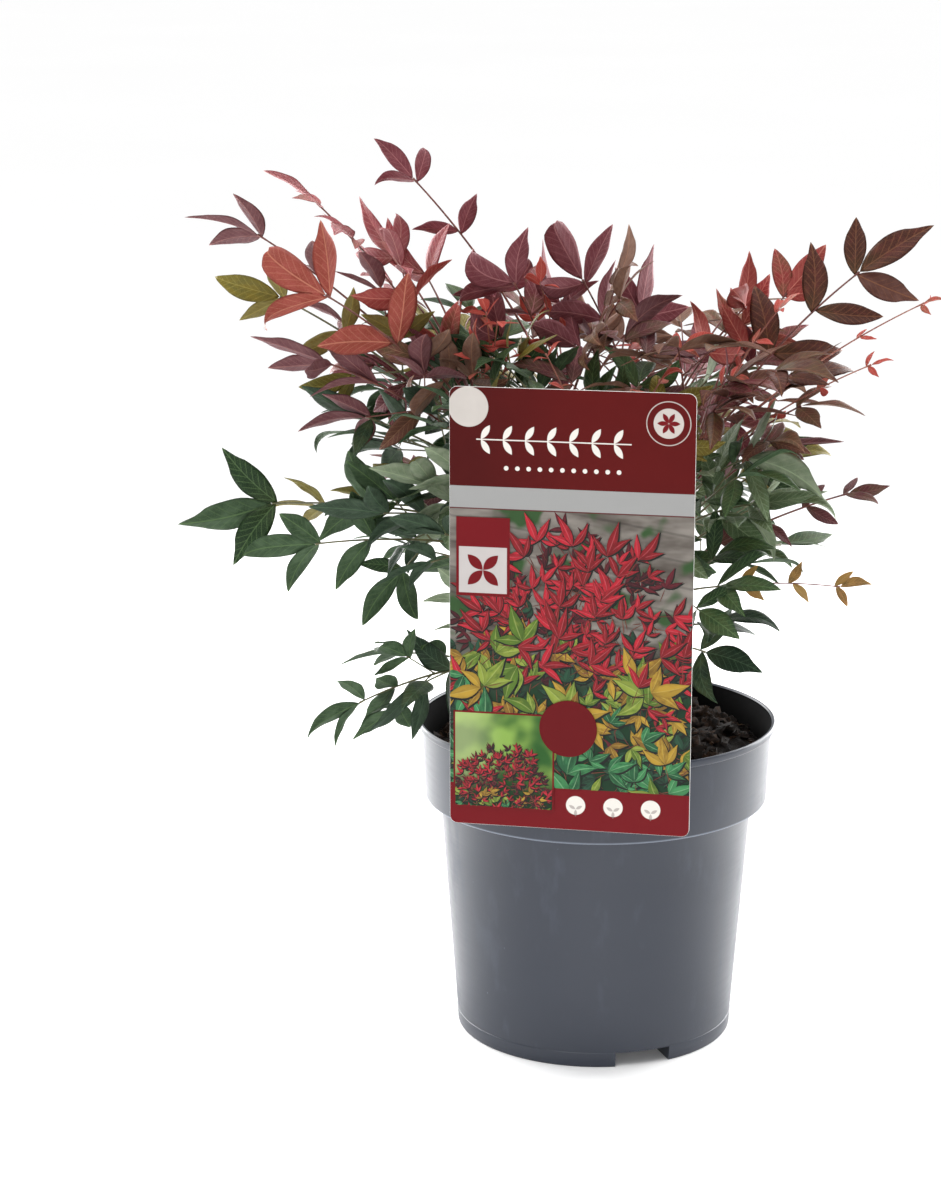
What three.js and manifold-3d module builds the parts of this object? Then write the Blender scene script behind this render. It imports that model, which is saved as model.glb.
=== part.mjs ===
// A young heavenly bamboo in a round plastic nursery pot, with its picture label hooked over the rim.
//
// Millimetres, +Z up. The pot stands on z = 0 with its axis on the Z axis, and the label faces -Y.
// Directions are given as a turn, in degrees from +X counter-clockwise seen from above,
// and a rise, in degrees above level.
import * as THREE from 'three';
import { ConvexGeometry } from 'three/addons/geometries/ConvexGeometry.js';
import { mergeVertices } from 'three/addons/utils/BufferGeometryUtils.js';
import Module from 'manifold-3d';

const wasm = await Module();
wasm.setup();

const UP = new THREE.Vector3(0, 0, 1);
const GAP = 0.3; // left between two pieces that meet

// ---------------------------------------------------------------- driving dimensions

const POT = {
  height: 170,
  footRadius: 73.6,
  bodyRadius: 83.3,
  skirtHeight: 8,
  skirtStep: 0.6,
  collarFoot: 127.6,
  collarLowRadius: 91,
  collarTopRadius: 92.8,
  beadRadius: 95,
  beadHeight: 4,
  beadRounding: 1,
  wall: 1.6,
  floor: 2,
  sides: 40,
};

const DRAIN = {
  count: 3,
  firstTurn: -69,
  width: 30,
  height: 8,
  innerRadius: 40,
  skin: 1.6,
  slot: { length: 12, width: 5, radii: [50, 66] },
};

const SOIL = { top: 156, flatRadius: 38, edgeDrop: 2.5 };

const LABEL = {
  turn: -98.9,
  width: 122,
  height: 224,
  foot: 137,
  shift: 1.5,
  thickness: 0.8,
  corner: 4,
  cornerSteps: 3,
  hook: { width: 24, reach: 7, drop: 12, seam: 12, lap: 0.2 },
};

// Woody canes: turn, radius of the foot from the pot's axis, lean, height above the soil, radii.
const CANES = {
  cane_left: { turn: 183, foot: 14, lean: 46, height: 174, root: 3.0, tip: 1.7 },
  cane_right: { turn: 5, foot: 16, lean: 38, height: 166, root: 3.0, tip: 1.7 },
  cane_middle: { turn: 120, foot: 12, lean: 24, height: 181, root: 3.2, tip: 1.7 },
  cane_back_left: { turn: 142, foot: 20, lean: 50, height: 148, root: 2.8, tip: 1.6 },
  cane_back_right: { turn: 60, foot: 17, lean: 42, height: 158, root: 2.8, tip: 1.6 },
  cane_front: { turn: 272, foot: 20, lean: 24, height: 146, root: 2.6, tip: 1.5 },
  cane_low_left: { turn: 205, foot: 26, lean: 30, height: 54, root: 2.4, tip: 1.5 },
  cane_low_right: { turn: 325, foot: 25, lean: 26, height: 74, root: 2.4, tip: 1.5 },
};
const CANE = { flare: 1.3, kneeHeight: 0.55, kneeLean: 0.15, sides: 8, rings: 6 };

// Sprays, the plant's compound leaves. Each leaves its cane at a grip, from 0 at the foot to 1 at the
// tip, on a heading of turn and rise, reaches so far, and rolls its leaf planes about itself.
// "nodes" says what its joints bear from root to tip: 1 is a pair of leaflets, 3 a pair of stalked
// trios. Every spray ends in a trio. "leaf" is the length of its largest leaflet.
const SPRAYS = [
  // name, cane, grip, turn, rise, reach, roll, nodes, leaf, tone
  ['top_left', 'cane_middle', 0.97, 186, 57, 143, 55, '11', 30, 'burgundy'],
  ['rose_left', 'cane_left', 0.99, 168, 52, 142, 25, '33', 34, 'rose'],
  ['coral_left', 'cane_left', 0.93, 214, 41, 127, 75, '1', 48, 'coral'],
  ['far_left', 'cane_left', 0.92, 178, 42, 162, 45, '31', 38, 'plum'],
  ['olive_left', 'cane_left', 0.87, 190, 38, 142, 72, '31', 33, 'olive'],
  ['plum_left', 'cane_left', 0.84, 202, 33, 112, 45, '31', 40, 'plum'],
  ['green_left', 'cane_left', 0.8, 160, 13, 84, 20, '3', 30, 'green'],
  ['long_left', 'cane_left', 0.62, 184, 8, 134, 85, '1', 46, 'green'],
  ['long_left_behind', 'cane_left', 0.66, 173, 3, 108, 50, '31', 32, 'olive'],
  ['drooping_left', 'cane_left', 0.56, 200, 7, 118, 80, '31', 38, 'green'],
  ['dark_left', 'cane_left', 0.48, 225, 28, 76, 50, '3', 36, 'dark'],
  ['low_left', 'cane_low_left', 0.94, 208, -9, 82, 65, '31', 34, 'green'],
  ['low_left_rising', 'cane_low_left', 0.8, 190, 12, 60, 40, '1', 32, 'green'],
  ['top_right', 'cane_right', 0.97, 2, 49, 119, 80, '11', 42, 'brown'],
  ['red_right', 'cane_right', 0.95, 20, 60, 92, 75, '1', 30, 'red'],
  ['front_right', 'cane_right', 0.88, 308, 43, 88, 30, '3', 38, 'brown'],
  ['bronze_right', 'cane_right', 0.8, 339, 39, 80, 15, '3', 36, 'bronze'],
  ['flat_right', 'cane_back_right', 0.97, 20, 60, 80, 5, '31', 44, 'bronze'],
  ['red_right_behind', 'cane_right', 0.86, 46, 62, 84, 70, '', 32, 'red'],
  ['centre_top', 'cane_back_right', 0.93, 222, 64, 106, 75, '31', 44, 'burgundy'],
  ['centre_upright', 'cane_middle', 0.93, 237, 58, 90, 60, '31', 42, 'burgundy'],
  ['centre_green', 'cane_left', 0.99, 110, 66, 60, 15, '31', 34, 'green'],
  ['front_green', 'cane_front', 0.97, 169, 53, 85, 20, '3', 34, 'green'],
  ['front_plum', 'cane_front', 0.93, 78, 57, 92, 15, '33', 38, 'plum'],
  ['front_bronze', 'cane_right', 0.9, 258, 60, 76, 15, '33', 38, 'bronze'],
  ['front_brown', 'cane_right', 0.7, 290, 50, 90, 10, '3', 38, 'brown'],
  ['plum_right_low', 'cane_right', 0.5, 1, 26, 110, 50, '111', 22, 'plum'],
  ['amber_right_low', 'cane_right', 0.45, 347, 7, 99, 70, '11', 17, 'amber'],
  ['green_right', 'cane_right', 0.6, 307, 40, 77, 30, '3', 40, 'green'],
  ['grey_right', 'cane_right', 0.55, 335, 35, 66, 20, '3', 40, 'grey'],
  ['plum_right', 'cane_right', 0.64, 347, 46, 72, 20, '1', 38, 'plum'],
  ['low_right', 'cane_low_right', 0.96, 330, 14, 15, 20, '', 38, 'dark'],
  ['low_right_hanging', 'cane_low_right', 0.8, 340, -5, 20, 80, '', 36, 'dark'],
  ['shoot_right', 'cane_right', 0.9, 354, 37, 144, 40, '11', 13, 'young'],
  ['shoot_right_low', 'cane_right', 0.84, 338, 35, 118, 60, '11', 12, 'young'],
  ['shoot_left', 'cane_left', 0.97, 250, 80, 64, 0, '31', 14, 'young'],
];

// The sprays that fill the crown's back climb from low to high while their turn steps about, and each
// grows on the cane behind it: left of one turn, right of another, or between.
const BACK = {
  count: 12,
  middleTurn: 90,
  leftFrom: 115,
  rightTo: 75,
  step: 0.618,
  arcLow: 95,
  arcHigh: 155,
  riseLow: 4,
  riseHigh: 56,
  reach: 118,
  shorten: 0.6,
  gripLow: 0.42,
  gripHigh: 0.96,
  roll: 20,
  leaf: 36,
  tones: ['green', 'burgundy', 'dark', 'plum', 'bronze', 'olive'],
};

const STALK = { root: 0.95, tip: 0.6, branch: 0.5, sides: 3, rings: 5, bow: 0.045, standOff: 0.45 };

// The joints along a rachis. They are spread over its outer end, and each bears a pair, splayed to
// both sides and a little up or down, whose feet are staggered.
const JOINT = {
  spread: 0.24, // of the rachis, and more for each joint
  spreadEach: 0.14,
  stagger: 1,
  splay: 50,
  splayPlay: 12,
  tilt: 0.2,
  leaf: [0.8, 0.95], // of the spray's leaf
  stalk: [0.61, 0.83], // of the spray's leaf, and less at each joint further out
  stalkFall: 0.15,
  rollPlay: 10,
};

// A leaflet at a stalk's end, with a pair a little before it, as shares of the trio's size.
const TRIO = {
  end: [0.95, 1.1],
  pair: [0.74, 0.9],
  feet: [2, 3], // before the end
  splay: 52,
  splayPlay: 10,
  onBranch: 0.86,
};

// Leaflets turn their faces up and droop, the less so the more their spray is rolled.
const LEAF = {
  width: 0.38, // of its length
  widthPlay: 0.04,
  level: 0.75, // share of the way to level
  uprightRoll: 80, // at which nothing turns level
  droop: 0.25,
  // corners: shares of its length, of its width to one side, and of its length upwards
  corners: [
    [0, 0, 0],
    [0.28, 0.45, 0],
    [0.28, -0.45, 0],
    [0.62, 0.37, 0],
    [0.62, -0.37, 0],
    [1, 0, 0],
    [0.42, 0, 0.03],
  ],
  sunk: 0.2, // its root behind the middle of the stalk
  loose: 16, // degrees of play in how it nods, at the first try
  looser: 9, // and more at each try after it
  yaw: 0.6, // its play sideways and about itself, to that of its nod
  roll: 1.3,
  clear: 4.5, // wanted from the leaflets and limbs of other pieces
  least: 2.2, // without which it isn't grown
  ownShare: 2.2, // how much further its own spray's leaflets count as lying
  tries: 7,
};

const COLOURS = {
  pot: 0x585d67,
  soil: 0x2a211b,
  label: 0x8f2a30,
  cane: 0x5e4334,
  burgundy: 0x6b2f3d,
  rose: 0xa9525a,
  coral: 0xb2503c,
  plum: 0x563242,
  olive: 0x6e6a2c,
  green: 0x365a3c,
  dark: 0x243c30,
  bronze: 0x6f4c3c,
  red: 0x9c3034,
  young: 0xc05242,
  amber: 0xa67c3a,
  grey: 0x7a8470,
  brown: 0x4e2f2c,
};

// ---------------------------------------------------------------- directions and curves

const radians = THREE.MathUtils.degToRad;

function heading(turn, rise) {
  const level = Math.cos(radians(rise));
  return new THREE.Vector3(
    Math.cos(radians(turn)) * level,
    Math.sin(radians(turn)) * level,
    Math.sin(radians(rise)),
  );
}

const reached = (from, direction, distance) => from.clone().addScaledVector(direction, distance);
const square = (a, b) => new THREE.Vector3().crossVectors(a, b).normalize();
const turned = (v, axis, degrees) => v.clone().applyAxisAngle(axis, radians(degrees));

function curveHeading({ v0, v1, v2 }, t) {
  const early = v1.clone().sub(v0).multiplyScalar(1 - t);
  return early.addScaledVector(v2.clone().sub(v1), t).normalize();
}

// A repeatable stream of numbers from 0 to 1.
function seeded(seed) {
  let state = Math.imul(seed, 2654435761) >>> 0;
  const draw = () => {
    state = (Math.imul(state, 1664525) + 1013904223) >>> 0;
    return state / 4294967296;
  };
  draw();
  draw();
  return draw;
}

const between = ([low, high], draw) => low + (high - low) * draw();
const wobble = (draw, span) => (draw() * 2 - 1) * span;

// ---------------------------------------------------------------- solids

// A geometry with its seams closed, so that only positions and faces are left.
function bare(geometry) {
  geometry.deleteAttribute('normal');
  geometry.deleteAttribute('uv');
  return mergeVertices(geometry);
}

function solidOf(geometry) {
  return new wasm.Manifold(
    new wasm.Mesh({
      numProp: 3,
      vertProperties: new Float32Array(geometry.attributes.position.array),
      triVerts: new Uint32Array(geometry.index.array),
    }),
  );
}

function geometryOf(solid) {
  const mesh = solid.getMesh();
  const geometry = new THREE.BufferGeometry();
  geometry.setAttribute('position', new THREE.BufferAttribute(mesh.vertProperties, 3));
  geometry.setIndex(new THREE.BufferAttribute(mesh.triVerts, 1));
  geometry.computeVertexNormals();
  return geometry;
}

// Moves each point of a geometry to where "place" sends it.
function reshaped(geometry, place) {
  const points = geometry.attributes.position;
  for (let i = 0; i < points.count; i++) {
    const moved = place(points.getX(i), points.getY(i), points.getZ(i));
    points.setXYZ(i, moved.x, moved.y, moved.z);
  }
  return geometry;
}

// A tapering round limb along a curve, with its rings square to the curve. One that flares stands on
// a flat level foot.
function limb(curve, rootRadius, tipRadius, { sides, rings, across, flare = 0 }) {
  const straight = bare(new THREE.CylinderGeometry(tipRadius, rootRadius, 1, sides, rings));
  return solidOf(
    reshaped(straight, (x, y, z) => {
      const t = y + 0.5;
      const atFoot = flare > 0 && y === -0.5;
      const along = atFoot ? UP : curveHeading(curve, t);
      const side = square(along, across);
      const swell = atFoot ? flare : 1;
      return curve
        .getPoint(t)
        .addScaledVector(side, x * swell)
        .addScaledVector(square(side, along), z * swell);
    }),
  );
}

function turnedSolid(profile, sides) {
  const outline = profile.map(([radius, height]) => new THREE.Vector2(radius, height));
  return solidOf(bare(new THREE.LatheGeometry(outline, sides).rotateX(Math.PI / 2)));
}

// A box that lies along a turn from one radius to another.
function radialBox(turn, near, far, width, low, high) {
  const box = new THREE.BoxGeometry(far - near, width, high - low);
  box.translate((near + far) / 2, 0, (low + high) / 2).rotateZ(radians(turn));
  return solidOf(bare(box));
}

const joined = (solids) => wasm.Manifold.union(solids);

// ---------------------------------------------------------------- pot, soil and label

const bodySlope = (POT.bodyRadius - POT.footRadius) / POT.collarFoot;
const bodyRadiusAt = (z) => POT.footRadius + bodySlope * z;
const drainTurns = Array.from(
  { length: DRAIN.count },
  (_, i) => DRAIN.firstTurn + (360 / DRAIN.count) * i,
);

// The pot's outside from the axis to the bead's top.
function potOutside() {
  const beadFoot = POT.height - POT.beadHeight;
  return [
    [0, 0],
    [POT.footRadius, 0],
    [bodyRadiusAt(POT.skirtHeight), POT.skirtHeight],
    [bodyRadiusAt(POT.skirtHeight) - POT.skirtStep, POT.skirtHeight + POT.skirtStep],
    [POT.bodyRadius - POT.skirtStep, POT.collarFoot],
    [POT.collarLowRadius, POT.collarFoot],
    [POT.collarTopRadius, beadFoot],
    [POT.beadRadius, beadFoot + POT.beadRounding],
    [POT.beadRadius, POT.height - POT.beadRounding],
    [POT.beadRadius - POT.beadRounding, POT.height],
  ];
}

// The pot's hollow, a wall's thickness inside, and smaller still by a margin all round.
function potHollow(margin, top) {
  const inset = POT.wall + POT.skirtStep + margin;
  const collarInset = POT.wall + margin;
  const collarSlope = (POT.collarTopRadius - POT.collarLowRadius) / (POT.height - POT.collarFoot);
  const shoulder = POT.collarFoot + POT.wall + margin;
  return [
    [0, POT.floor + margin],
    [POT.footRadius - inset, POT.floor + margin],
    [POT.bodyRadius - inset, shoulder],
    [POT.collarLowRadius - collarInset, shoulder],
    [POT.collarLowRadius - collarInset + collarSlope * (top - POT.collarFoot), top],
  ];
}

// The raised troughs that let water out under the pot's edge, grown by a margin.
function drainTroughs(margin) {
  const width = DRAIN.width + 2 * (DRAIN.skin + margin);
  const near = DRAIN.innerRadius - DRAIN.skin - margin;
  return drainTurns.map((turn) =>
    radialBox(turn, near, POT.footRadius, width, 0, DRAIN.height + DRAIN.skin + margin),
  );
}

function potSolid() {
  const outside = turnedSolid([...potOutside(), [0, POT.height]], POT.sides);
  const hollow = turnedSolid([...potHollow(0, POT.height + 1), [0, POT.height + 1]], POT.sides);
  const troughs = joined(drainTroughs(0)).intersect(outside);
  const channels = drainTurns.map((turn) =>
    radialBox(turn, DRAIN.innerRadius, POT.beadRadius, DRAIN.width, -1, DRAIN.height),
  );
  const slots = drainTurns.flatMap((turn) =>
    DRAIN.slot.radii.map((radius) =>
      radialBox(
        turn,
        radius - DRAIN.slot.width / 2,
        radius + DRAIN.slot.width / 2,
        DRAIN.slot.length,
        DRAIN.height - 1,
        DRAIN.height + DRAIN.skin + 1,
      ),
    ),
  );
  return outside.subtract(hollow).add(troughs).subtract(joined([...channels, ...slots]));
}

function soilSolid() {
  const edge = SOIL.top - SOIL.edgeDrop;
  const filling = [...potHollow(GAP, edge), [SOIL.flatRadius, SOIL.top], [0, SOIL.top]];
  return turnedSolid(filling, POT.sides).subtract(joined(drainTroughs(GAP)));
}

// The label's card stands against the bead. A strip on its back hooks over the rim.
function labelSolid() {
  const { width, height, corner, thickness, hook } = LABEL;
  const card = new THREE.Shape();
  const right = width / 2;
  card.moveTo(-right + corner, 0);
  card.lineTo(right - corner, 0).absarc(right - corner, corner, corner, -Math.PI / 2, 0);
  card.lineTo(right, height - corner);
  card.absarc(right - corner, height - corner, corner, 0, Math.PI / 2);
  card.absarc(-right + corner, height - corner, corner, Math.PI / 2, Math.PI);
  card.absarc(-right + corner, corner, corner, Math.PI, Math.PI * 1.5);
  const plate = new THREE.ExtrudeGeometry(card, {
    depth: thickness,
    bevelEnabled: false,
    curveSegments: LABEL.cornerSteps,
  });
  plate.rotateX(Math.PI / 2).translate(LABEL.shift, 0, LABEL.foot);

  const over = POT.height + GAP;
  const strip = (near, far, low, high) => {
    const box = new THREE.BoxGeometry(hook.width, far - near, high - low);
    return solidOf(bare(box.translate(0, (near + far) / 2, (low + high) / 2)));
  };
  const parts = [
    solidOf(bare(plate)),
    strip(-hook.lap, thickness, over, over + hook.seam),
    strip(-hook.lap, hook.reach, over, over + thickness),
    strip(hook.reach - thickness, hook.reach, over - hook.drop, over + thickness),
  ];
  return joined(parts)
    .translate([0, -(POT.beadRadius + GAP), 0])
    .rotate([0, 0, LABEL.turn + 90]);
}

// ---------------------------------------------------------------- canes

function caneCurve({ turn, foot, lean, height }) {
  const out = heading(turn, 0);
  const ground = SOIL.top + GAP;
  const at = (radius, rise) => reached(out.clone().multiplyScalar(radius), UP, ground + rise);
  return new THREE.QuadraticBezierCurve3(
    at(foot, 0),
    at(foot + lean * CANE.kneeLean, height * CANE.kneeHeight),
    at(foot + lean, height),
  );
}

function growCane(cane) {
  const curve = caneCurve(cane);
  const across = heading(cane.turn + 90, 0);
  return { ...cane, curve, solid: limb(curve, cane.root, cane.tip, { ...CANE, across }) };
}

// ---------------------------------------------------------------- sprays

function backSprays() {
  return Array.from({ length: BACK.count }, (_, i) => {
    const share = (i + 0.5) / BACK.count;
    const mix = (low, high) => low + (high - low) * share;
    const side = ((i * BACK.step) % 1) - 0.5;
    const turn = BACK.middleTurn + mix(BACK.arcLow, BACK.arcHigh) * side;
    const rise = mix(BACK.riseLow, BACK.riseHigh);
    let cane = 'cane_middle';
    if (turn > BACK.leftFrom) cane = 'cane_back_left';
    if (turn < BACK.rightTo) cane = 'cane_back_right';
    return [
      `back_${i + 1}`,
      cane,
      mix(BACK.gripLow, BACK.gripHigh),
      turn,
      rise,
      BACK.reach - BACK.shorten * rise,
      BACK.roll,
      i % 2 ? '33' : '31',
      BACK.leaf,
      BACK.tones[i % BACK.tones.length],
    ];
  });
}

// The spray's rachis starts just clear of its cane's bark.
function rachisCurve(cane, grip, turn, rise, reach) {
  const way = heading(turn, rise);
  const lift = heading(turn, rise + 90);
  const start = way.clone().multiplyScalar(0.5).addScaledVector(lift, 2 * STALK.bow).normalize();
  const along = curveHeading(cane.curve, grip);
  const out = heading(turn, 0);
  out.addScaledVector(along, -out.dot(along)).normalize();
  const bark = cane.root + (cane.tip - cane.root) * grip;
  const lean = Math.sqrt(Math.max(0, 1 - start.dot(out) ** 2));
  const root = reached(cane.curve.getPoint(grip), out, bark + STALK.standOff + STALK.root * lean);
  const tip = reached(root, way, reach);
  const knee = reached(root.clone().lerp(tip, 0.5), lift, 2 * STALK.bow * reach);
  return new THREE.QuadraticBezierCurve3(root, knee, tip);
}

// One leaflet: a blade with six corners, flat below and raised to its midrib above. Its root is sunk
// behind the middle of its stalk.
function leafletSolid({ foot, along, across, length, width }) {
  const up = square(across, along);
  const corner = ([run, side, lift]) =>
    reached(foot, along, run * (length + LEAF.sunk) - LEAF.sunk)
      .addScaledVector(across, side * width)
      .addScaledVector(up, lift * length);
  return solidOf(bare(new ConvexGeometry(LEAF.corners.map(corner))));
}

// Places on a leaflet, as shares of its length and width, where it is tested against its neighbours.
const LEAF_SAMPLES = [
  [0.12, 0],
  [0.34, 0],
  [0.56, 0],
  [0.78, 0],
  [0.98, 0],
  [0.42, 0.36],
  [0.42, -0.36],
  [0.64, 0.3],
  [0.64, -0.3],
];

// Everything placed so far, as sample points and as solids, each with the piece that owns it.
const placed = { points: [], solids: [] };

function settle(owner, kind, points, solid) {
  for (const point of points) placed.points.push({ point, owner, kind });
  placed.solids.push({ solid, owner, box: solid.boundingBox() });
}

// How far the points are from what is placed. A spray's own stalks don't count, and its own leaflets
// may lie closer.
function roomAround(points, owner) {
  let nearest = Infinity;
  for (const other of placed.points) {
    const own = other.owner === owner;
    if (own && other.kind === 'limb') continue;
    const share = own ? LEAF.ownShare : 1;
    for (const point of points) {
      nearest = Math.min(nearest, share * point.distanceTo(other.point));
    }
  }
  return nearest;
}

const boxesNear = (a, b) =>
  [0, 1, 2].every((k) => a.min[k] - GAP < b.max[k] && b.min[k] - GAP < a.max[k]);

// Whether a solid lacks its gap to another piece, or runs into its own, apart from its parent limb.
function touches(solid, owner, parent) {
  const box = solid.boundingBox();
  return placed.solids.some((other) => {
    if (other.solid === parent || !boxesNear(box, other.box)) return false;
    if (other.owner === owner) return !solid.intersect(other.solid).isEmpty();
    return solid.minGap(other.solid, 1) < GAP;
  });
}

// The first of several tries at a piece that has room, or the roomiest that has enough.
function bestTry(tries, make) {
  let best = null;
  for (let attempt = 0; attempt < tries; attempt++) {
    const piece = make(attempt);
    if (!best || piece.room > best.room) best = piece;
    if (piece.room > LEAF.clear) break;
  }
  return best.room < LEAF.least ? null : best;
}

function growSpray(row, index, { curve, solid: rachis }) {
  const [name, , , , , , roll, nodes, leaf] = row;
  const solids = [rachis];
  let leafCount = 0;
  const seed = index + 1;
  const planeRoll = roll + wobble(seeded(seed), JOINT.rollPlay);
  const level = LEAF.level * Math.max(0, 1 - Math.abs(roll) / LEAF.uprightRoll);

  function leaflet(parent, foot, stalkWay, stalkNormal, size) {
    leafCount += 1;
    const along = reached(stalkWay, UP, -level * (stalkWay.z + LEAF.droop)).normalize();
    const normal = stalkNormal.clone().multiplyScalar(1 - level).addScaledVector(UP, level);
    normal.addScaledVector(along, -normal.dot(along)).normalize();
    const found = bestTry(LEAF.tries, (attempt) => {
      const draw = seeded(seed * 1000 + leafCount * 10 + attempt);
      const loose = LEAF.loose + LEAF.looser * attempt;
      const nod = turned(along, square(along, normal), wobble(draw, loose));
      const way = turned(nod, normal, wobble(draw, loose * LEAF.yaw)).normalize();
      const across = turned(square(way, normal), way, wobble(draw, loose * LEAF.roll)).normalize();
      const width = size * (LEAF.width + wobble(draw, LEAF.widthPlay));
      const points = LEAF_SAMPLES.map(([run, side]) =>
        reached(reached(foot, way, size * run), across, width * side),
      );
      const solid = leafletSolid({ foot, along: way, across, length: size, width });
      const room = touches(solid, name, parent) ? 0 : roomAround(points, name);
      return { room, points, solid };
    });
    if (!found) return;
    settle(name, 'leaf', found.points, found.solid);
    solids.push(found.solid);
  }

  function trio(parent, end, along, normal, size, draw) {
    leaflet(parent, end, along, normal, size * between(TRIO.end, draw));
    for (const sign of [-1, 1]) {
      const foot = reached(end, along, -TRIO.feet[sign < 0 ? 1 : 0]);
      const way = turned(along, normal, -sign * (TRIO.splay + wobble(draw, TRIO.splayPlay)));
      leaflet(parent, foot, way, normal, size * between(TRIO.pair, draw));
    }
  }

  function stalkWithTrio(foot, way, normal, length, draw) {
    const end = reached(foot, way, length);
    const line = new THREE.QuadraticBezierCurve3(foot, foot.clone().lerp(end, 0.5), end);
    const shape = { sides: STALK.sides, rings: 1, across: normal };
    const stalk = limb(line, STALK.branch, STALK.branch, shape);
    if (touches(stalk, name, rachis)) return;
    settle(name, 'limb', line.getPoints(4).slice(1), stalk);
    solids.push(stalk);
    trio(stalk, end, way, square(square(way, normal), way), leaf * TRIO.onBranch, draw);
  }

  function frameAt(t) {
    const along = curveHeading(curve, t);
    const side = turned(square(along, UP), along, planeRoll);
    return { along, normal: square(side, along) };
  }

  const spread = JOINT.spread + JOINT.spreadEach * nodes.length;
  [...nodes].forEach((kind, step) => {
    const t = 1 - (spread * (nodes.length - step)) / nodes.length;
    const { along, normal } = frameAt(t);
    for (const sign of [-1, 1]) {
      const draw = seeded(seed * 100 + step * 10 + sign);
      const foot = reached(curve.getPoint(t), along, JOINT.stagger * sign);
      const way = turned(along, normal, -sign * (JOINT.splay + wobble(draw, JOINT.splayPlay)));
      way.addScaledVector(normal, wobble(draw, JOINT.tilt)).normalize();
      const length = leaf * (1 - JOINT.stalkFall * step) * between(JOINT.stalk, draw);
      if (kind === '3') stalkWithTrio(foot, way, normal, length, draw);
      else leaflet(rachis, foot, way, normal, leaf * between(JOINT.leaf, draw));
    }
  });
  const { along, normal } = frameAt(1);
  trio(rachis, curve.v2, along, normal, leaf, seeded(seed * 100 + 99));
  return joined(solids);
}

// ---------------------------------------------------------------- the plant

const nandina = new THREE.Group();
nandina.name = 'heavenly_bamboo';

function addPiece(name, solid, colour, roughness) {
  const material = new THREE.MeshStandardMaterial({ color: colour, roughness, metalness: 0 });
  const mesh = new THREE.Mesh(geometryOf(solid), material);
  mesh.name = name;
  nandina.add(mesh);
}

const pot = potSolid();
const soil = soilSolid();
const label = labelSolid();
settle('pot', 'limb', [], pot);
settle('soil', 'limb', [], soil);
settle('plant_label', 'limb', [], label);
addPiece('pot', pot, COLOURS.pot, 0.45);
addPiece('soil', soil, COLOURS.soil, 0.95);
addPiece('plant_label', label, COLOURS.label, 0.35);

const canes = {};
for (const [name, sizes] of Object.entries(CANES)) {
  canes[name] = growCane(sizes);
  settle(name, 'limb', canes[name].curve.getPoints(30), canes[name].solid);
  addPiece(name, canes[name].solid, COLOURS.cane, 0.8);
}

const rows = [...SPRAYS, ...backSprays()];
const rachises = rows.map(([name, cane, grip, turn, rise, reach]) => {
  const curve = rachisCurve(canes[cane], grip, turn, rise, reach);
  const shape = { sides: STALK.sides, rings: STALK.rings, across: UP };
  const solid = limb(curve, STALK.root, STALK.tip, shape);
  settle(name, 'limb', curve.getPoints(20).slice(1), solid);
  return { curve, solid };
});
rows.forEach((row, index) => {
  const [name] = row;
  const tone = row.at(-1);
  addPiece(`spray_${name}`, growSpray(row, index, rachises[index]), COLOURS[tone], 0.5);
});

export default nandina;
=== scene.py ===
# %% [markdown]
# # A heavenly bamboo in its nursery pot
#
# This lesson dresses a plain model of a potted shrub: a pot of blue-grey plastic, the potting mix in
# it, a printed card on its rim, and a young heavenly bamboo with its autumn leaves. The plain model
# gives the sizes. Here every piece is made again as a fine mesh with its own finish.
#
# Lengths are in millimetres where the plant is grown, as in the plain model, and they become metres
# when a mesh is made. +Z is up, and the card faces -Y, turned by some 9 degrees.

# %% The model's frame
import math

import bpy
import numpy as np
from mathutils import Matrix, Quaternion, Vector, noise


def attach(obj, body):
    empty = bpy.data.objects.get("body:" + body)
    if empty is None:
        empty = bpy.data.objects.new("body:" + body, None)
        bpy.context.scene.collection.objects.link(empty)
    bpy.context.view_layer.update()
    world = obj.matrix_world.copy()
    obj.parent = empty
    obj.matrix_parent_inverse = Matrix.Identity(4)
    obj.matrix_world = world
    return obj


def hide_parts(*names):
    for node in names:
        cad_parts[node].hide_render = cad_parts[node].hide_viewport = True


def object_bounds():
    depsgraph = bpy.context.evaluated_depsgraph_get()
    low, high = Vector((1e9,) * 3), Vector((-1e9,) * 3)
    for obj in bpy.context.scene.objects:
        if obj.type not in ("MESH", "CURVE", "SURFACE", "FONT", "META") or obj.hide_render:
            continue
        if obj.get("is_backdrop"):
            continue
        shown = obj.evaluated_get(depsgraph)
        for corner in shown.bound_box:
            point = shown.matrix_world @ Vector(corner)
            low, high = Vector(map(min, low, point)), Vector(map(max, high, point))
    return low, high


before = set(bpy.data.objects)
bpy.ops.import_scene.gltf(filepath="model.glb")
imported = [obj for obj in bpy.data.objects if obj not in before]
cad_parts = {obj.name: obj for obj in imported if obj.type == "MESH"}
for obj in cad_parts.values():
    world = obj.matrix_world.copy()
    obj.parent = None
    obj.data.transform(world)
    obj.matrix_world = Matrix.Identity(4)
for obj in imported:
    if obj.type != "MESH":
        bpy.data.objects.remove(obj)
cad_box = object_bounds()
MM = 0.001
print(f"{len(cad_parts)} nodes, {(cad_box[1] - cad_box[0]).z / MM:.0f} mm high")

# %% [markdown]
# ## The camera
#
# The camera stands a little above the crown and looks down by some 14 degrees, as one looks at a
# pot on a low table. A long lens keeps the pot's sides from leaning. The frame is taller than it is
# wide, so the sensor's width belongs to its long side.

# %% Camera
LENS_MM = 87
SENSOR_MM = 36
CAMERA_AT = (0, -1489, 592)
PITCH_DOWN = 13.56
YAW_LEFT = 2.58


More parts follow.
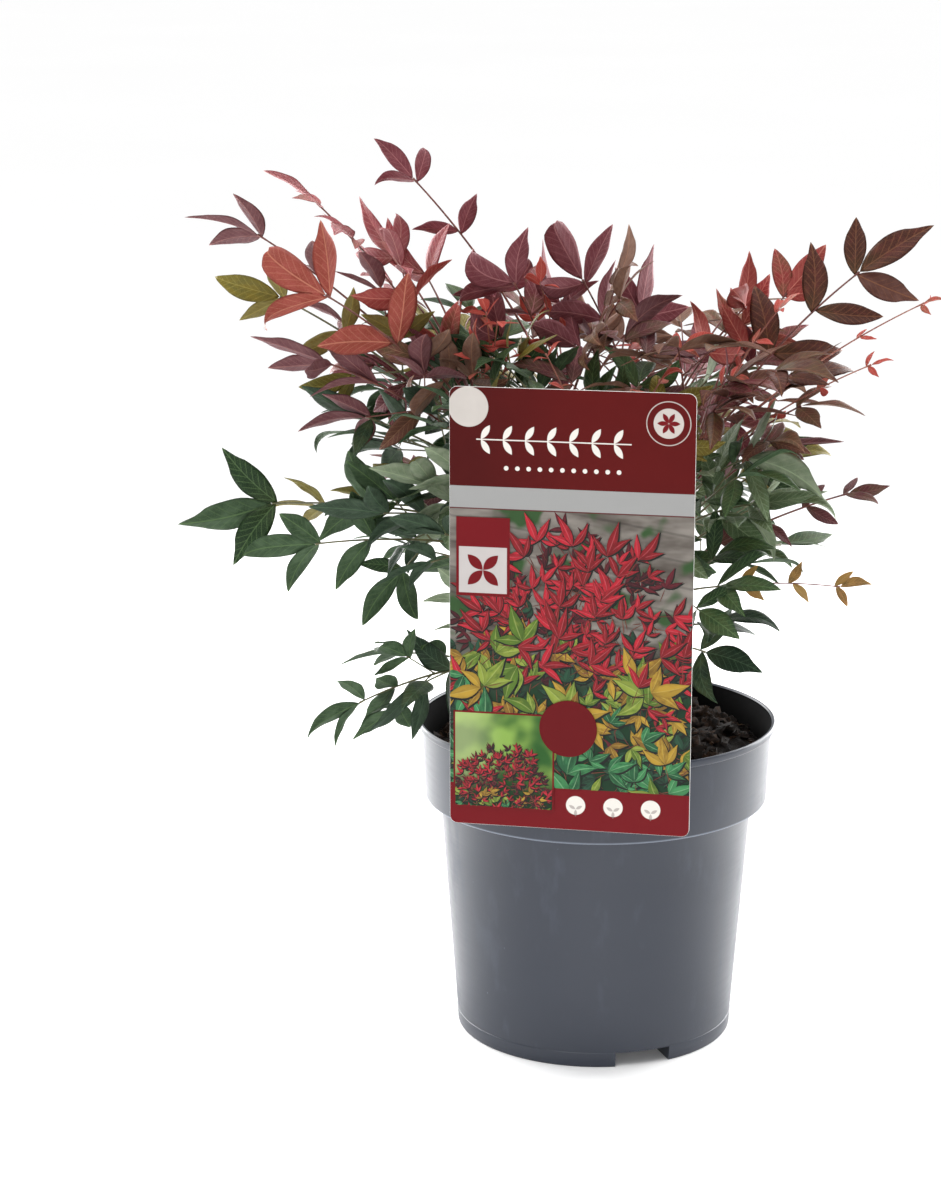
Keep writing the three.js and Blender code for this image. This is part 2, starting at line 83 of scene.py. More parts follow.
def add_camera():
    lens = bpy.data.cameras.new("camera")
    lens.lens = LENS_MM
    lens.sensor_width = SENSOR_MM
    lens.clip_start = 0.05
    camera = bpy.data.objects.new("camera", lens)
    camera.location = Vector(CAMERA_AT) * MM
    camera.rotation_euler = (math.radians(90 - PITCH_DOWN), 0, math.radians(YAW_LEFT))
    bpy.context.scene.collection.objects.link(camera)
    bpy.context.scene.camera = camera
    return camera


print("camera at", tuple(round(x, 3) for x in add_camera().location))

# %% [markdown]
# ## Shader sums
#
# A finish is a sum of noises, masks and colours. Wiring it node by node is slow to read, so one
# small class wraps a socket and gives it Python's operators. A number's sum becomes a Math node, a
# vector's a Vector Math node and a colour's a Mix node, which keeps its hue.


# %% A socket with operators
class Wire:
    """A shader socket that can be written in sums."""

    tree = None  # the node tree that is being wired

    def __init__(self, socket):
        self.socket = socket

    @classmethod
    def node(cls, kind, settings=None, sockets=None, output=0):
        """Adds any node: its settings first, then the values or links of its sockets."""
        made = cls.tree.nodes.new("ShaderNode" + kind)
        for name, value in (settings or {}).items():
            setattr(made, name, value)
        for name, value in (sockets or {}).items():
            if isinstance(value, Wire):
                cls.tree.links.new(value.socket, made.inputs[name])
            else:
                made.inputs[name].default_value = value
        return cls(made.outputs[output])

    def sum_with(self, operation, other, swapped=False):
        first, second = (other, self) if swapped else (self, other)
        kinds = {w.socket.type for w in (first, second) if isinstance(w, Wire)}
        if "RGBA" in kinds:
            settings = {"data_type": "RGBA", "blend_type": operation}
            greys = [w if isinstance(w, (Wire, tuple)) else (w, w, w, 1) for w in (first, second)]
            return Wire.node("Mix", settings, {0: 1.0, 6: greys[0], 7: greys[1]}, output=2)
        if "VECTOR" in kinds:
            settings = {"operation": operation}
            return Wire.node("VectorMath", settings, {0: first, 1: second})
        return Wire.node("Math", {"operation": operation}, {0: first, 1: second})

    def __add__(self, other):
        return self.sum_with("ADD", other)

    def __radd__(self, other):
        return self.sum_with("ADD", other, swapped=True)

    def __sub__(self, other):
        return self.sum_with("SUBTRACT", other)

    def __rsub__(self, other):
        return self.sum_with("SUBTRACT", other, swapped=True)

    def __mul__(self, other):
        return self.sum_with("MULTIPLY", other)

    def __rmul__(self, other):
        return self.sum_with("MULTIPLY", other, swapped=True)

    def __truediv__(self, other):
        return self.sum_with("DIVIDE", other)

    def __gt__(self, other):
        return self.sum_with("GREATER_THAN", other)

    def __abs__(self):
        return Wire.node("Math", {"operation": "ABSOLUTE"}, {0: self})

    def floor(self):
        return Wire.node("Math", {"operation": "FLOOR"}, {0: self})

    def fraction(self):
        return Wire.node("Math", {"operation": "FRACT"}, {0: self})

    def rising(self, low, high, to_low=0.0, to_high=1.0):
        """A smooth step: one value up to low, another from high on."""
        ends = {"From Min": low, "From Max": high, "To Min": to_low, "To Max": to_high}
        return Wire.node("MapRange", {"interpolation_type": "SMOOTHSTEP"}, {"Value": self, **ends})

    def mixed(self, colour_a, colour_b):
        """The first colour where this mask is 0, the second where it is 1."""
        settings = {"data_type": "RGBA"}
        return Wire.node("Mix", settings, {0: self, 6: colour_a, 7: colour_b}, output=2)


print("Wire ready")


# %% Colours, noises and new materials
def colour(hex_code):
    """A screen colour, such as 0x585d67, as the linear colour that shaders take."""
    parts = [((hex_code >> shift) & 255) / 255 for shift in (16, 8, 0)]
    linear = [p / 12.92 if p <= 0.04045 else ((p + 0.055) / 1.055) ** 2.4 for p in parts]
    return (*linear, 1.0)


def shaded(rgba, factor):
    return (*(min(1.0, c * factor) for c in rgba[:3]), 1.0)


def new_finish(name, **plain):
    """Starts a material. What is the same all over is set on the shader's own sockets."""
    material = bpy.data.materials.new(name)
    material.use_nodes = True
    Wire.tree = material.node_tree
    shader = material.node_tree.nodes["Principled BSDF"]
    for socket, value in plain.items():
        shader.inputs[socket.replace("_", " ")].default_value = value
    return material


def feed(material, socket, wire):
    shader = material.node_tree.nodes["Principled BSDF"]
    material.node_tree.links.new(wire.socket, shader.inputs[socket])


def place_on_piece(stretch=(1, 1, 1)):
    """The point's own place on the piece, stretched so that a noise runs with the grain."""
    at = Wire.node("TexCoord", output=3)
    return Wire.node("Mapping", {}, {"Vector": at, "Scale": stretch})


def cloudy(at, scale, detail=3.0, rough=0.55):
    """A soft noise from 0 to 1."""
    return Wire.node(
        "TexNoise", {}, {"Vector": at, "Scale": scale, "Detail": detail, "Roughness": rough}
    )


def bumped(height, strength, distance_mm):
    """A normal that stands for relief of this height."""
    sockets = {"Height": height, "Strength": strength, "Distance": distance_mm * MM}
    return Wire.node("Bump", {}, sockets)


print("finish helpers ready")

# %% [markdown]
# ## Floor and light
#
# The floor is a plain pale sheet. Plastic shows its shape by what it mirrors, so two tall soft
# boxes stand left and right behind the pot and lay a pale band down each of its edges. A third lamp
# hangs over the front, a broad soft sun stands above, and a pale sky fills the shadows, as in a
# white light tent.

# %% Floor
FLOOR_REACH = 40.0


def add_floor():
    r = FLOOR_REACH
    data = bpy.data.meshes.new("floor")
    data.from_pydata([(-r, -r, 0), (r, -r, 0), (r, r, 0), (-r, r, 0)], [], [(0, 1, 2, 3)])
    floor = bpy.data.objects.new("floor", data)
    bpy.context.scene.collection.objects.link(floor)
    paper = new_finish("floor_paper", Roughness=0.9, Emission_Color=(1, 1, 1, 1), Emission_Strength=0.07)
    soft = cloudy(place_on_piece(), 0.8)
    feed(paper, "Base Color", soft.mixed(colour(0xF8F8F8), colour(0xFCFCFC)))
    data.materials.append(paper)
    floor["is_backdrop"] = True
    return floor


print("floor", add_floor().name)

# %% Soft boxes and sky
SOFT_BOXES = {
    # where it stands, its width and height in metres, its power in watts
    "box_left": ((-0.82, 0.75, 0.35), (1.0, 1.5), 38),
    "box_right": ((0.82, 0.8, 0.35), (1.0, 1.5), 38),
    "box_over": ((-0.4, -0.9, 1.5), (0.9, 0.7), 8),
}
LIT_POINT = Vector((0, 0, 0.24))
SKY_STRENGTH = 0.5
SUN_STRENGTH = 1.55
SUN_WIDTH = 70  # degrees


def add_soft_box(name, place, size, power):
    lamp = bpy.data.lights.new(name, "AREA")
    lamp.shape = "RECTANGLE"
    lamp.size, lamp.size_y = size
    lamp.energy = power
    box = bpy.data.objects.new(name, lamp)
    box.location = place
    box.rotation_euler = (LIT_POINT - Vector(place)).to_track_quat("-Z", "Y").to_euler()
    bpy.context.scene.collection.objects.link(box)


for name, (place, size, power) in SOFT_BOXES.items():
    add_soft_box(name, place, size, power)
sun = bpy.data.lights.new("sun_above", "SUN")
sun.energy = SUN_STRENGTH
sun.angle = math.radians(SUN_WIDTH)
above = bpy.data.objects.new("sun_above", sun)
above.rotation_euler = (math.radians(-8), math.radians(6), 0)
bpy.context.scene.collection.objects.link(above)
sky = bpy.data.worlds.new("sky")
sky.use_nodes = True
sky.node_tree.nodes["Background"].inputs["Color"].default_value = (1, 1, 1, 1)
sky.node_tree.nodes["Background"].inputs["Strength"].default_value = SKY_STRENGTH
bpy.context.scene.world = sky
bpy.context.scene.view_settings.view_transform = "Standard"
print(len(SOFT_BOXES), "soft boxes and a pale sky")

# %% [markdown]
# ## From points to a piece
#
# Everything below ends as a list of points and faces. One helper turns them into an object, and a
# second is the one place that says how a piece belongs to the part: it rides on the only body, takes
# the finish it is given, and stands for its nodes of the plain model.


# %% Making a piece
def link_mesh(name, points, faces):
    data = bpy.data.meshes.new(name)
    data.from_pydata((np.asarray(points, float) * MM).tolist(), [], faces)
    made = bpy.data.objects.new(name, data)
    bpy.context.scene.collection.objects.link(made)
    return made


def finished(piece, material, nodes, crease=None):
    """Gives a piece its material and its place in the part, and smooths it up to a crease angle."""
    piece.data.materials.clear()
    piece.data.materials.append(material)
    piece.data.shade_smooth()
    if crease is not None:
        piece.data.set_sharp_from_angle(angle=math.radians(crease))
    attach(piece, "root")
    if nodes:
        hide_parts(*nodes)
    print(piece.name, len(piece.data.polygons), "faces")
    return piece


class Heap:
    """Points and faces of many small shapes that become one mesh."""

    def __init__(self):
        self.points = []
        self.faces = []
        self.count = 0

    def add(self, points, faces):
        self.points.append(np.asarray(points, float))
        self.faces.extend(tuple(i + self.count for i in face) for face in faces)
        self.count += len(points)

    def piece(self, name):
        return link_mesh(name, np.vstack(self.points), self.faces)


print("piece helpers ready")

# %% [markdown]
# ## Turned shapes
#
# Pot and soil are turned about one axis. A lathe needs only the outline, as pairs of radius and
# height. Round edges are written as arcs, so that the light has something to run round.

# %% A lathe
POT_SIDES = 160


def lathe(outline, sides):
    """Points and faces of an outline turned about Z. It starts and ends on the axis."""
    turns = np.arange(sides) * 2 * math.pi / sides
    points = [(0, 0, outline[0][1])]
    for radius, height in outline[1:-1]:
        points += [(radius * math.cos(a), radius * math.sin(a), height) for a in turns]
    points.append((0, 0, outline[-1][1]))
    rings = len(outline) - 2
    last = len(points) - 1
    faces = []
    for i in range(sides):
        j = (i + 1) % sides
        faces.append((0, 1 + j, 1 + i))
        for ring in range(rings - 1):
            low, high = 1 + ring * sides, 1 + (ring + 1) * sides
            faces.append((low + i, low + j, high + j, high + i))
        top = 1 + (rings - 1) * sides
        faces.append((top + i, top + j, last))
    return points, faces


def arc(centre, radius, start, end, steps=4):
    """Points of a round edge, from one angle in degrees to another."""
    angles = [math.radians(start + (end - start) * i / steps) for i in range(steps + 1)]
    return [(centre[0] + radius * math.cos(a), centre[1] + radius * math.sin(a)) for a in angles]


print("lathe ready")

# %% [markdown]
# ## The pot
#
# A nursery pot is blown from recycled plastic: a smooth cone, a wider collar to grip it by, a bead
# round the rim and a fine step over the foot. Three channels are pressed up into its underside and
# run out through the wall, so that water can leave. The lathe makes the cone, and Boolean cuts make
# the channels, as a wall this plain needs no more.

# %% Pot sizes
POT_HEIGHT = 170
POT_FOOT_RADIUS = 73.6
POT_BODY_RADIUS = 83.3
SKIRT_HEIGHT = 8
SKIRT_STEP = 0.6
COLLAR_FOOT = 127.6
COLLAR_LOW_RADIUS = 91
COLLAR_TOP_RADIUS = 92.8
BEAD_RADIUS = 95
BEAD_HEIGHT = 4
WALL = 1.6
POT_FLOOR = 2
GAP = 0.3
DRAIN_TURNS = [-69 + 120 * i for i in range(3)]
DRAIN_WIDTH = 30
DRAIN_HEIGHT = 8
DRAIN_INNER = 40
DRAIN_SKIN = 1.6
SLOT_RADII = (50, 66)
SLOT_LENGTH = 12
SLOT_WIDTH = 5


def body_radius(z):
    return POT_FOOT_RADIUS + (POT_BODY_RADIUS - POT_FOOT_RADIUS) * z / COLLAR_FOOT


print("pot wall at mid height:", round(body_radius(POT_HEIGHT / 2), 1), "mm from the axis")

# %% Pot outline
FOOT_ROUNDING = 1.0
STEP_ROUNDING = 0.15
FINE_STEP = 0.22  # the skirt's step in the finished wall
SHOULDER_ROUNDING = 0.8
BEAD_ROUNDING = 1.3
LIP = 1.9  # how thick the bead is at its top
LIP_ROUNDING = 0.9


def pot_outline():
    """Up the outside, over the bead and down the inside."""
    skirt = body_radius(SKIRT_HEIGHT)
    bead_foot = POT_HEIGHT - BEAD_HEIGHT
    bead_mid = BEAD_RADIUS - BEAD_ROUNDING
    outside = [(0, 0), (POT_FOOT_RADIUS - 6, 0)]
    outside += arc((POT_FOOT_RADIUS - FOOT_ROUNDING, FOOT_ROUNDING), FOOT_ROUNDING, -90, 0)
    outside += arc((skirt - STEP_ROUNDING, SKIRT_HEIGHT - STEP_ROUNDING), STEP_ROUNDING, 0, 75)
    outside += [(skirt - FINE_STEP, SKIRT_HEIGHT + 0.15)]
    outside += [(body_radius(z) - FINE_STEP, z) for z in (40, 70, 100)]
    under = POT_BODY_RADIUS - FINE_STEP
    outside += [(under, COLLAR_FOOT - 1.2), (under + 0.5, COLLAR_FOOT - 0.2)]
    shoulder = (COLLAR_LOW_RADIUS - SHOULDER_ROUNDING, COLLAR_FOOT + SHOULDER_ROUNDING)
    outside += arc(shoulder, SHOULDER_ROUNDING, -90, 0)
    outside += [(COLLAR_TOP_RADIUS - 0.7, COLLAR_FOOT + 24)]
    outside += [(COLLAR_TOP_RADIUS, bead_foot - 0.6), (COLLAR_TOP_RADIUS + 0.5, bead_foot)]
    outside += arc((bead_mid, bead_foot + BEAD_ROUNDING), BEAD_ROUNDING, -90, 0)
    outside += arc((BEAD_RADIUS - LIP_ROUNDING, POT_HEIGHT - LIP_ROUNDING), LIP_ROUNDING, 0, 90)
    inner_lip = BEAD_RADIUS - LIP
    inside = arc((inner_lip + LIP_ROUNDING, POT_HEIGHT - LIP_ROUNDING), LIP_ROUNDING, 90, 180)
    inside += [(inner_lip - 0.3, bead_foot + 1.5), (COLLAR_TOP_RADIUS - WALL, bead_foot - 3)]
    inside += [(COLLAR_LOW_RADIUS - WALL, COLLAR_FOOT + WALL + 1)]
    inside += [(COLLAR_LOW_RADIUS - WALL - 1, COLLAR_FOOT + WALL)]
    inside += [(POT_BODY_RADIUS - WALL - SKIRT_STEP, COLLAR_FOOT + WALL)]
    inside += [(POT_FOOT_RADIUS - WALL - SKIRT_STEP, POT_FLOOR), (0, POT_FLOOR)]
    return outside + inside


print(len(pot_outline()), "points on the pot's outline")


# %% Channels and slots
def radial_box(turn, near, far, width, low, high):
    """A box that lies along a turn from one radius to another: its points and faces."""
    out = Vector((math.cos(math.radians(turn)), math.sin(math.radians(turn)), 0))
    side = Vector((-out.y, out.x, 0))
    points = [
        out * r + side * (s * width / 2) + Vector((0, 0, z))
        for z in (low, high)
        for r, s in ((near, -1), (far, -1), (far, 1), (near, 1))
    ]
    faces = [(0, 3, 2, 1), (4, 5, 6, 7), (0, 1, 5, 4), (1, 2, 6, 5), (2, 3, 7, 6), (3, 0, 4, 7)]
    return points, faces


def boxes(name, rows):
    heap = Heap()
    for row in rows:
        heap.add(*radial_box(*row))
    return heap.piece(name)


def combine(base, tool, operation):
    """Joins or cuts with a Boolean, and keeps only the result."""
    step = base.modifiers.new(operation, "BOOLEAN")
    step.operation = operation
    step.object = tool
    step.solver = "EXACT"
    graph = bpy.context.evaluated_depsgraph_get()
    done = bpy.data.meshes.new_from_object(base.evaluated_get(graph))
    base.modifiers.clear()
    base.data = done
    bpy.data.objects.remove(tool)


print("Boolean helper ready")

# %% The pot's mesh
TROUGH_FAR = 71.4


def make_pot():
    pot = link_mesh("nursery_pot", *lathe(pot_outline(), POT_SIDES))
    skin, top = DRAIN_SKIN, DRAIN_HEIGHT + DRAIN_SKIN
    near, wide = DRAIN_INNER - skin, DRAIN_WIDTH + 2 * skin
    troughs = boxes("troughs", [(t, near, TROUGH_FAR, wide, 1, top) for t in DRAIN_TURNS])
    combine(pot, troughs, "UNION")
    channels = [(t, DRAIN_INNER, BEAD_RADIUS, DRAIN_WIDTH, -1, DRAIN_HEIGHT) for t in DRAIN_TURNS]
    combine(pot, boxes("channels", channels), "DIFFERENCE")
    half = SLOT_WIDTH / 2
    slots = [
        (t, r - half, r + half, SLOT_LENGTH, DRAIN_HEIGHT - 1, top + 1)
        for t in DRAIN_TURNS
        for r in SLOT_RADII
    ]
    combine(pot, boxes("slots", slots), "DIFFERENCE")
    return pot


pot = make_pot()
print("pot made of", len(pot.data.polygons), "faces")

# %% [markdown]
# ### Its plastic
#
# The wall is blue-grey outside, and inside the collar a near-black sheet with almost no gloss lies
# on it. Recycled plastic isn't one grey: pigment streaks run round it, and the wall has a faint
# orange peel from the mould. Handling and watering leave dull scuffs, which show in the gloss long
# before they show in the colour, so the roughness varies more than the colour does. A few pale
# specks of grit stick to it. One flat grey would look drawn, so noises of several scales are added
# up, each stretched the way its marks run.
# A pale band painted along the collar's foot is a painted highlight on its rounded edge.

# %% Pot plastic
PLASTIC = colour(0x2C323F)
PLASTIC_WORN = colour(0x5A6270)
# The pale colour of a painted highlight along the collar's foot.
PLASTIC_EDGE_HIGHLIGHT = colour(0x8A93A2)


def pot_plastic():
    made = new_finish("pot_plastic", Specular_IOR_Level=0.5)
    height = Wire.node("SeparateXYZ", {}, {0: Wire.node("TexCoord", output=3)}, output=2) / MM
    around = place_on_piece((1, 1, 3))
    streaks = cloudy(around, 14, 4)
    lines = cloudy(place_on_piece((1, 1, 14)), 40, 4)
    scuffs = cloudy(place_on_piece((1, 1, 0.4)), 60, 5).rising(0.55, 0.75)
    specks = cloudy(place_on_piece(), 330, 1).rising(0.81, 0.84)
    grain = cloudy(place_on_piece(), 900, 2)
    # Painted highlight: a thin pale band just above the collar's foot.
    edge = height.rising(COLLAR_FOOT - 0.3, COLLAR_FOOT + 0.2)
    edge = edge * (1 - height.rising(COLLAR_FOOT + 0.5, COLLAR_FOOT + 1.4))
    tone = (streaks * 0.5).mixed(shaded(PLASTIC, 0.9), shaded(PLASTIC, 1.12))
    tone = (scuffs * 0.2 + specks * 0.7).mixed(tone, PLASTIC_WORN)
    feed(made, "Base Color", (edge * (0.35 + streaks * 0.5)).mixed(tone, PLASTIC_EDGE_HIGHLIGHT))
    feed(made, "Roughness", 0.27 + lines * 0.1 + scuffs * 0.14)
    feed(made, "Normal", bumped(grain + streaks * 0.6 + lines * 0.8, 0.14, 0.15))
    return made


finished(pot, pot_plastic(), ["pot"], crease=35)

# %% A near-black sheet inside the collar
LINING = 0.3
LINING_LIFT = 0.05


def turned_ring(section, sides):
    """A closed outline turned about Z into a ring."""
    points = [
        (r * math.cos(a), r * math.sin(a), z)
        for a in (np.arange(sides) * 2 * math.pi / sides)
        for r, z in section
    ]
    n = len(section)
    faces = [
        (i * n + j, (i + 1) % sides * n + j, (i + 1) % sides * n + (j + 1) % n, i * n + (j + 1) % n)
        for i in range(sides)
        for j in range(n)
    ]
    return points, faces


def lining_section():
    """Just inside the collar, from its shoulder up to its lip."""
    bead_foot = POT_HEIGHT - BEAD_HEIGHT
    wall = [(COLLAR_LOW_RADIUS - WALL, COLLAR_FOOT + WALL + 1)]
    wall += [(COLLAR_TOP_RADIUS - WALL, bead_foot - 3), (BEAD_RADIUS - LIP - 0.3, bead_foot + 1.5)]
    wall += [(BEAD_RADIUS - LIP, POT_HEIGHT - LIP_ROUNDING)]
    back = [(r - LINING_LIFT, z) for r, z in wall]
    front = [(r - LINING_LIFT - LINING, z) for r, z in wall[::-1]]
    return back + front


lining = link_mesh("pot_lining", *turned_ring(lining_section(), POT_SIDES))
# A near-black sheet with almost no gloss lies on the collar's inner wall, so that the wall shows dark.
black = new_finish("near_black_lining", Roughness=0.7, Specular_IOR_Level=0.03)
dust = cloudy(place_on_piece(), 90, 4)
feed(black, "Base Color", dust.rising(0.4, 0.8).mixed(colour(0x020202), colour(0x080707)))
finished(lining, black, ["pot"], crease=35)

# %% [markdown]
# ## The potting mix
#
# Bark-and-peat mix settles into a lumpy bed that stands a little higher in the middle. A lathe
# gives its buried body, and fractal noise lifts its top. On the bed lie three kinds of litter: clods,
# which are balls pushed about by noise, chips of bark, each a box pushed out of shape, and fibres,
# which are thin bent strands. Real geometry is worth it here, because the grazing light shows every
# edge.

# %% The bed
SOIL_TOP = 156
SOIL_FLAT_RADIUS = 38
SOIL_EDGE_DROP = 2.5
SOIL_RIM = COLLAR_LOW_RADIUS - WALL + 0.25
BED_FOOT_RADIUS = 71.6
BED_COLLAR_RADIUS = 80.7
BED_SIDES = 180
BED_RINGS = 44
LUMP = 9.0
HEAP = 9.0  # how far the loose mix stands over its settled height
HEAP_EDGE = 22


def bed_height(x, y):
    """The height of the potting mix at a place, in millimetres."""
    r = math.hypot(x, y)
    drop = SOIL_EDGE_DROP * max(0.0, r - SOIL_FLAT_RADIUS) / (SOIL_RIM - SOIL_FLAT_RADIUS)
    coarse = noise.fractal(Vector((x, y, 0)) * 0.05, 0.9, 2.1, 4)
    fine = noise.fractal(Vector((x, y, 40)) * 0.3, 0.8, 2.0, 3)
    calm = 0.25 + 0.75 * min(1.0, (SOIL_RIM - r) / 6)
    heap = HEAP * min(1.0, (SOIL_RIM - r) / HEAP_EDGE)
    return SOIL_TOP + heap - drop + (LUMP * coarse * 0.5 + 1.1 * fine) * calm - 0.6


def make_bed():
    turns = [2 * math.pi * i / BED_SIDES for i in range(BED_SIDES)]
    foot = DRAIN_HEIGHT + DRAIN_SKIN + GAP
    outline = [(0, foot), (BED_FOOT_RADIUS, foot)]
    outline += [(BED_COLLAR_RADIUS, COLLAR_FOOT + WALL + 0.3)]
    outline += [(SOIL_RIM - 0.8, COLLAR_FOOT + WALL + 0.5)]
    radii = [SOIL_RIM * (1 - i / BED_RINGS) for i in range(BED_RINGS)]
    outline += [(r, 0) for r in radii] + [(0, 0)]
    points, faces = lathe(outline, BED_SIDES)
    buried = 1 + 3 * BED_SIDES
    points[buried:] = [(x, y, bed_height(x, y)) for x, y, _ in points[buried:]]
    return link_mesh("potting_mix", points, faces)


bed = make_bed()
print("bed", round(max(v.co.z for v in bed.data.vertices) / MM, 1), "mm at its highest")

# %% Places for the litter
CLODS = 110
CLOD_RINGS = 12
CLOD_SIDES = 18
CHIPS = 620
FIBRES = 120
CHIP_CORNERS = [(x, y, z) for x in (-1, 1) for y in (-1, 1) for z in (-1, 1)]
CHIP_FACES = [(0, 1, 3, 2), (4, 6, 7, 5), (0, 4, 5, 1), (2, 3, 7, 6), (0, 2, 6, 4), (1, 5, 7, 3)]
litter_rng = np.random.default_rng(7)


def spot_on_bed(rng):
    """A place on the bed, clear of the rim."""
    radius = (SOIL_RIM - 4) * math.sqrt(rng.uniform(0, 1))
    turn = rng.uniform(0, 2 * math.pi)
    x, y = radius * math.cos(turn), radius * math.sin(turn)
    return Vector((x, y, bed_height(x, y)))


def tumbled(rng, lean):
    """A turn about Z and a lean to any side."""
    heading = Quaternion((0, 0, 1), rng.uniform(0, 2 * math.pi))
    tilt = Quaternion((1, 0, 0), math.radians(rng.normal(0, lean)))
    return heading @ tilt @ Quaternion((0, 1, 0), math.radians(rng.normal(0, lean)))


print("the first place:", [round(v) for v in spot_on_bed(np.random.default_rng(7))], "mm")


# %% Clods
def clod(rng, middle):
    """A lump of peat: a round net of points, each pushed out or in by noise."""
    radius = rng.uniform(2.5, 9)
    stretch = Vector(rng.uniform(0.75, 1.25, 3)) * radius
    spin = tumbled(rng, 30)
    shift = Vector(rng.uniform(-50, 50, 3))
    points = []
    for ring in range(CLOD_RINGS + 1):
        up = math.pi * (ring / CLOD_RINGS - 0.5)
        for i in range(CLOD_SIDES):
            turn = 2 * math.pi * i / CLOD_SIDES
            way = Vector((math.cos(up) * math.cos(turn), math.cos(up) * math.sin(turn), math.sin(up)))
            rough = 1 + 0.5 * noise.fractal(way * 1.3 + shift, 0.7, 2.0, 4)
            points.append(middle + spin @ Vector(w * s * rough for w, s in zip(way, stretch)))
    faces = []
    for ring in range(CLOD_RINGS):
        for i in range(CLOD_SIDES):
            a, b = ring * CLOD_SIDES + i, ring * CLOD_SIDES + (i + 1) % CLOD_SIDES
            faces.append((a, b, b + CLOD_SIDES, a + CLOD_SIDES))
    return points, faces


def make_clods():
    heap = Heap()
    for _ in range(CLODS):
        middle = spot_on_bed(litter_rng)
        inward = Vector((-middle.x, -middle.y, 0)).normalized()
        heap.add(*clod(litter_rng, middle + inward * 5 - Vector((0, 0, 1.5))))
    return heap.piece("peat_clods")


clods = make_clods()
print("clods:", CLODS)


# %% Bark chips
def chip(rng, middle):
    """A split flake of bark: a box with every corner pushed about."""
    long = rng.uniform(2.5, 8) * (2 if rng.uniform() > 0.86 else 1)
    half = Vector((long, long * rng.uniform(0.35, 0.75), rng.uniform(0.8, 2.2))) / 2
    spin = tumbled(rng, 24)
    points = []
    for corner in CHIP_CORNERS:
        push = rng.uniform(0.55, 1.25, 3)
        points.append(middle + spin @ Vector(c * h * p for c, h, p in zip(corner, half, push)))
    return points, CHIP_FACES


def make_chips(name, count):
    heap = Heap()
    for _ in range(count):
        middle = spot_on_bed(litter_rng) + Vector((0, 0, litter_rng.uniform(-0.3, 0.9)))
        heap.add(*chip(litter_rng, middle))
    piece = heap.piece(name)
    step = piece.modifiers.new("round", "SUBSURF")
    step.subdivision_type = "SIMPLE"
    step.levels = step.render_levels = 1
    return piece


dark_chips = make_chips("bark_chips_dark", CHIPS)
brown_chips = make_chips("bark_chips_brown", CHIPS // 4)
print("chips:", CHIPS + CHIPS // 4)


# %% A tube along a line
def tube(line, radii, sides):
    """Points and faces of a closed tube. Its rings stay square to the line without twisting."""
    line = np.asarray(line, float)
    ways = np.gradient(line, axis=0)
    ways /= np.linalg.norm(ways, axis=1)[:, None]
    side = np.cross(ways[0], (0, 0, 1) if abs(ways[0][2]) < 0.9 else (1, 0, 0))
    points = []
    for middle, way, radius in zip(line, ways, radii):
        side = side - way * (side @ way)
        side /= np.linalg.norm(side)
        up = np.cross(way, side)
        for i in range(sides):
            a = 2 * math.pi * i / sides
            points.append(middle + radius * (side * math.cos(a) + up * math.sin(a)))
    rings = len(line)
    faces = [tuple(range(sides))[::-1]]
    for ring in range(rings - 1):
        for i in range(sides):
            j = (i + 1) % sides
            low, high = ring * sides, (ring + 1) * sides
            faces.append((low + i, low + j, high + j, high + i))
    faces.append(tuple(range((rings - 1) * sides, rings * sides)))
    return points, faces


print("tube ready")

# %% Fibres
FIBRE_STEPS = 6


def fibre(rng):
    """A strand of coir or root that lies bent on the bed."""
    start = spot_on_bed(rng)
    turn = rng.uniform(0, 2 * math.pi)
    length = rng.uniform(6, 20)
    bend = rng.normal(0, 0.5)
    line = []
    at = start.copy()
    for i in range(FIBRE_STEPS + 1):
        r = math.hypot(at.x, at.y)
        if r > SOIL_RIM - 2:
            at *= (SOIL_RIM - 2) / r
        lift = 0.5 + 1.2 * math.sin(math.pi * i / FIBRE_STEPS) * rng.uniform(0.2, 1)
        line.append((at.x, at.y, bed_height(at.x, at.y) + lift))
        at += Vector((math.cos(turn), math.sin(turn), 0)) * (length / FIBRE_STEPS)
        turn += bend
    return tube(line, [rng.uniform(0.12, 0.28)] * (FIBRE_STEPS + 1), 3)


def make_fibres():
    heap = Heap()
    for _ in range(FIBRES):
        heap.add(*fibre(litter_rng))
    return heap.piece("soil_fibres")


fibres = make_fibres()
print("fibres:", FIBRES)

# %% [markdown]
# ### Its finish
#
# Moist peat is nearly black and drinks the light, while split bark keeps its warm brown and dries
# first on top. The bed gets a deep, clotted brown with a strong bump. Its near-black lies in the
# bump's hollows, partly the wet peat's own colour and partly painted shade, and its brown on the
# raised clots is partly painted highlight. The clods get the same in a lighter brown, which is
# partly painted highlight too, the chips a grained brown in a darker and a lighter kind, and the
# fibres a straw brown. One finish with a mask for each kind could do it too, but each kind is a mesh
# of its own, so two short functions are enough.

# %% Soil finishes
def peat(name, light):
    made = new_finish(name, Specular_IOR_Level=0.14)
    at = place_on_piece()
    clots_and_shade = cloudy(at, 260, 6, 0.7)
    patches = cloudy(at, 60, 3)
    # Partly painted shade: the near-black lies in the bump's hollows, and the brown on its raised parts
    # is partly painted highlight.
    deep = clots_and_shade.rising(0.35, 0.75).mixed(colour(0x030202), colour(light))
    feed(made, "Base Color", (patches * 0.5).mixed(deep, colour(0x0C0907)))
    feed(made, "Roughness", 0.72 + patches * 0.25)
    feed(made, "Normal", bumped(clots_and_shade, 1.0, 1.8))
    return made


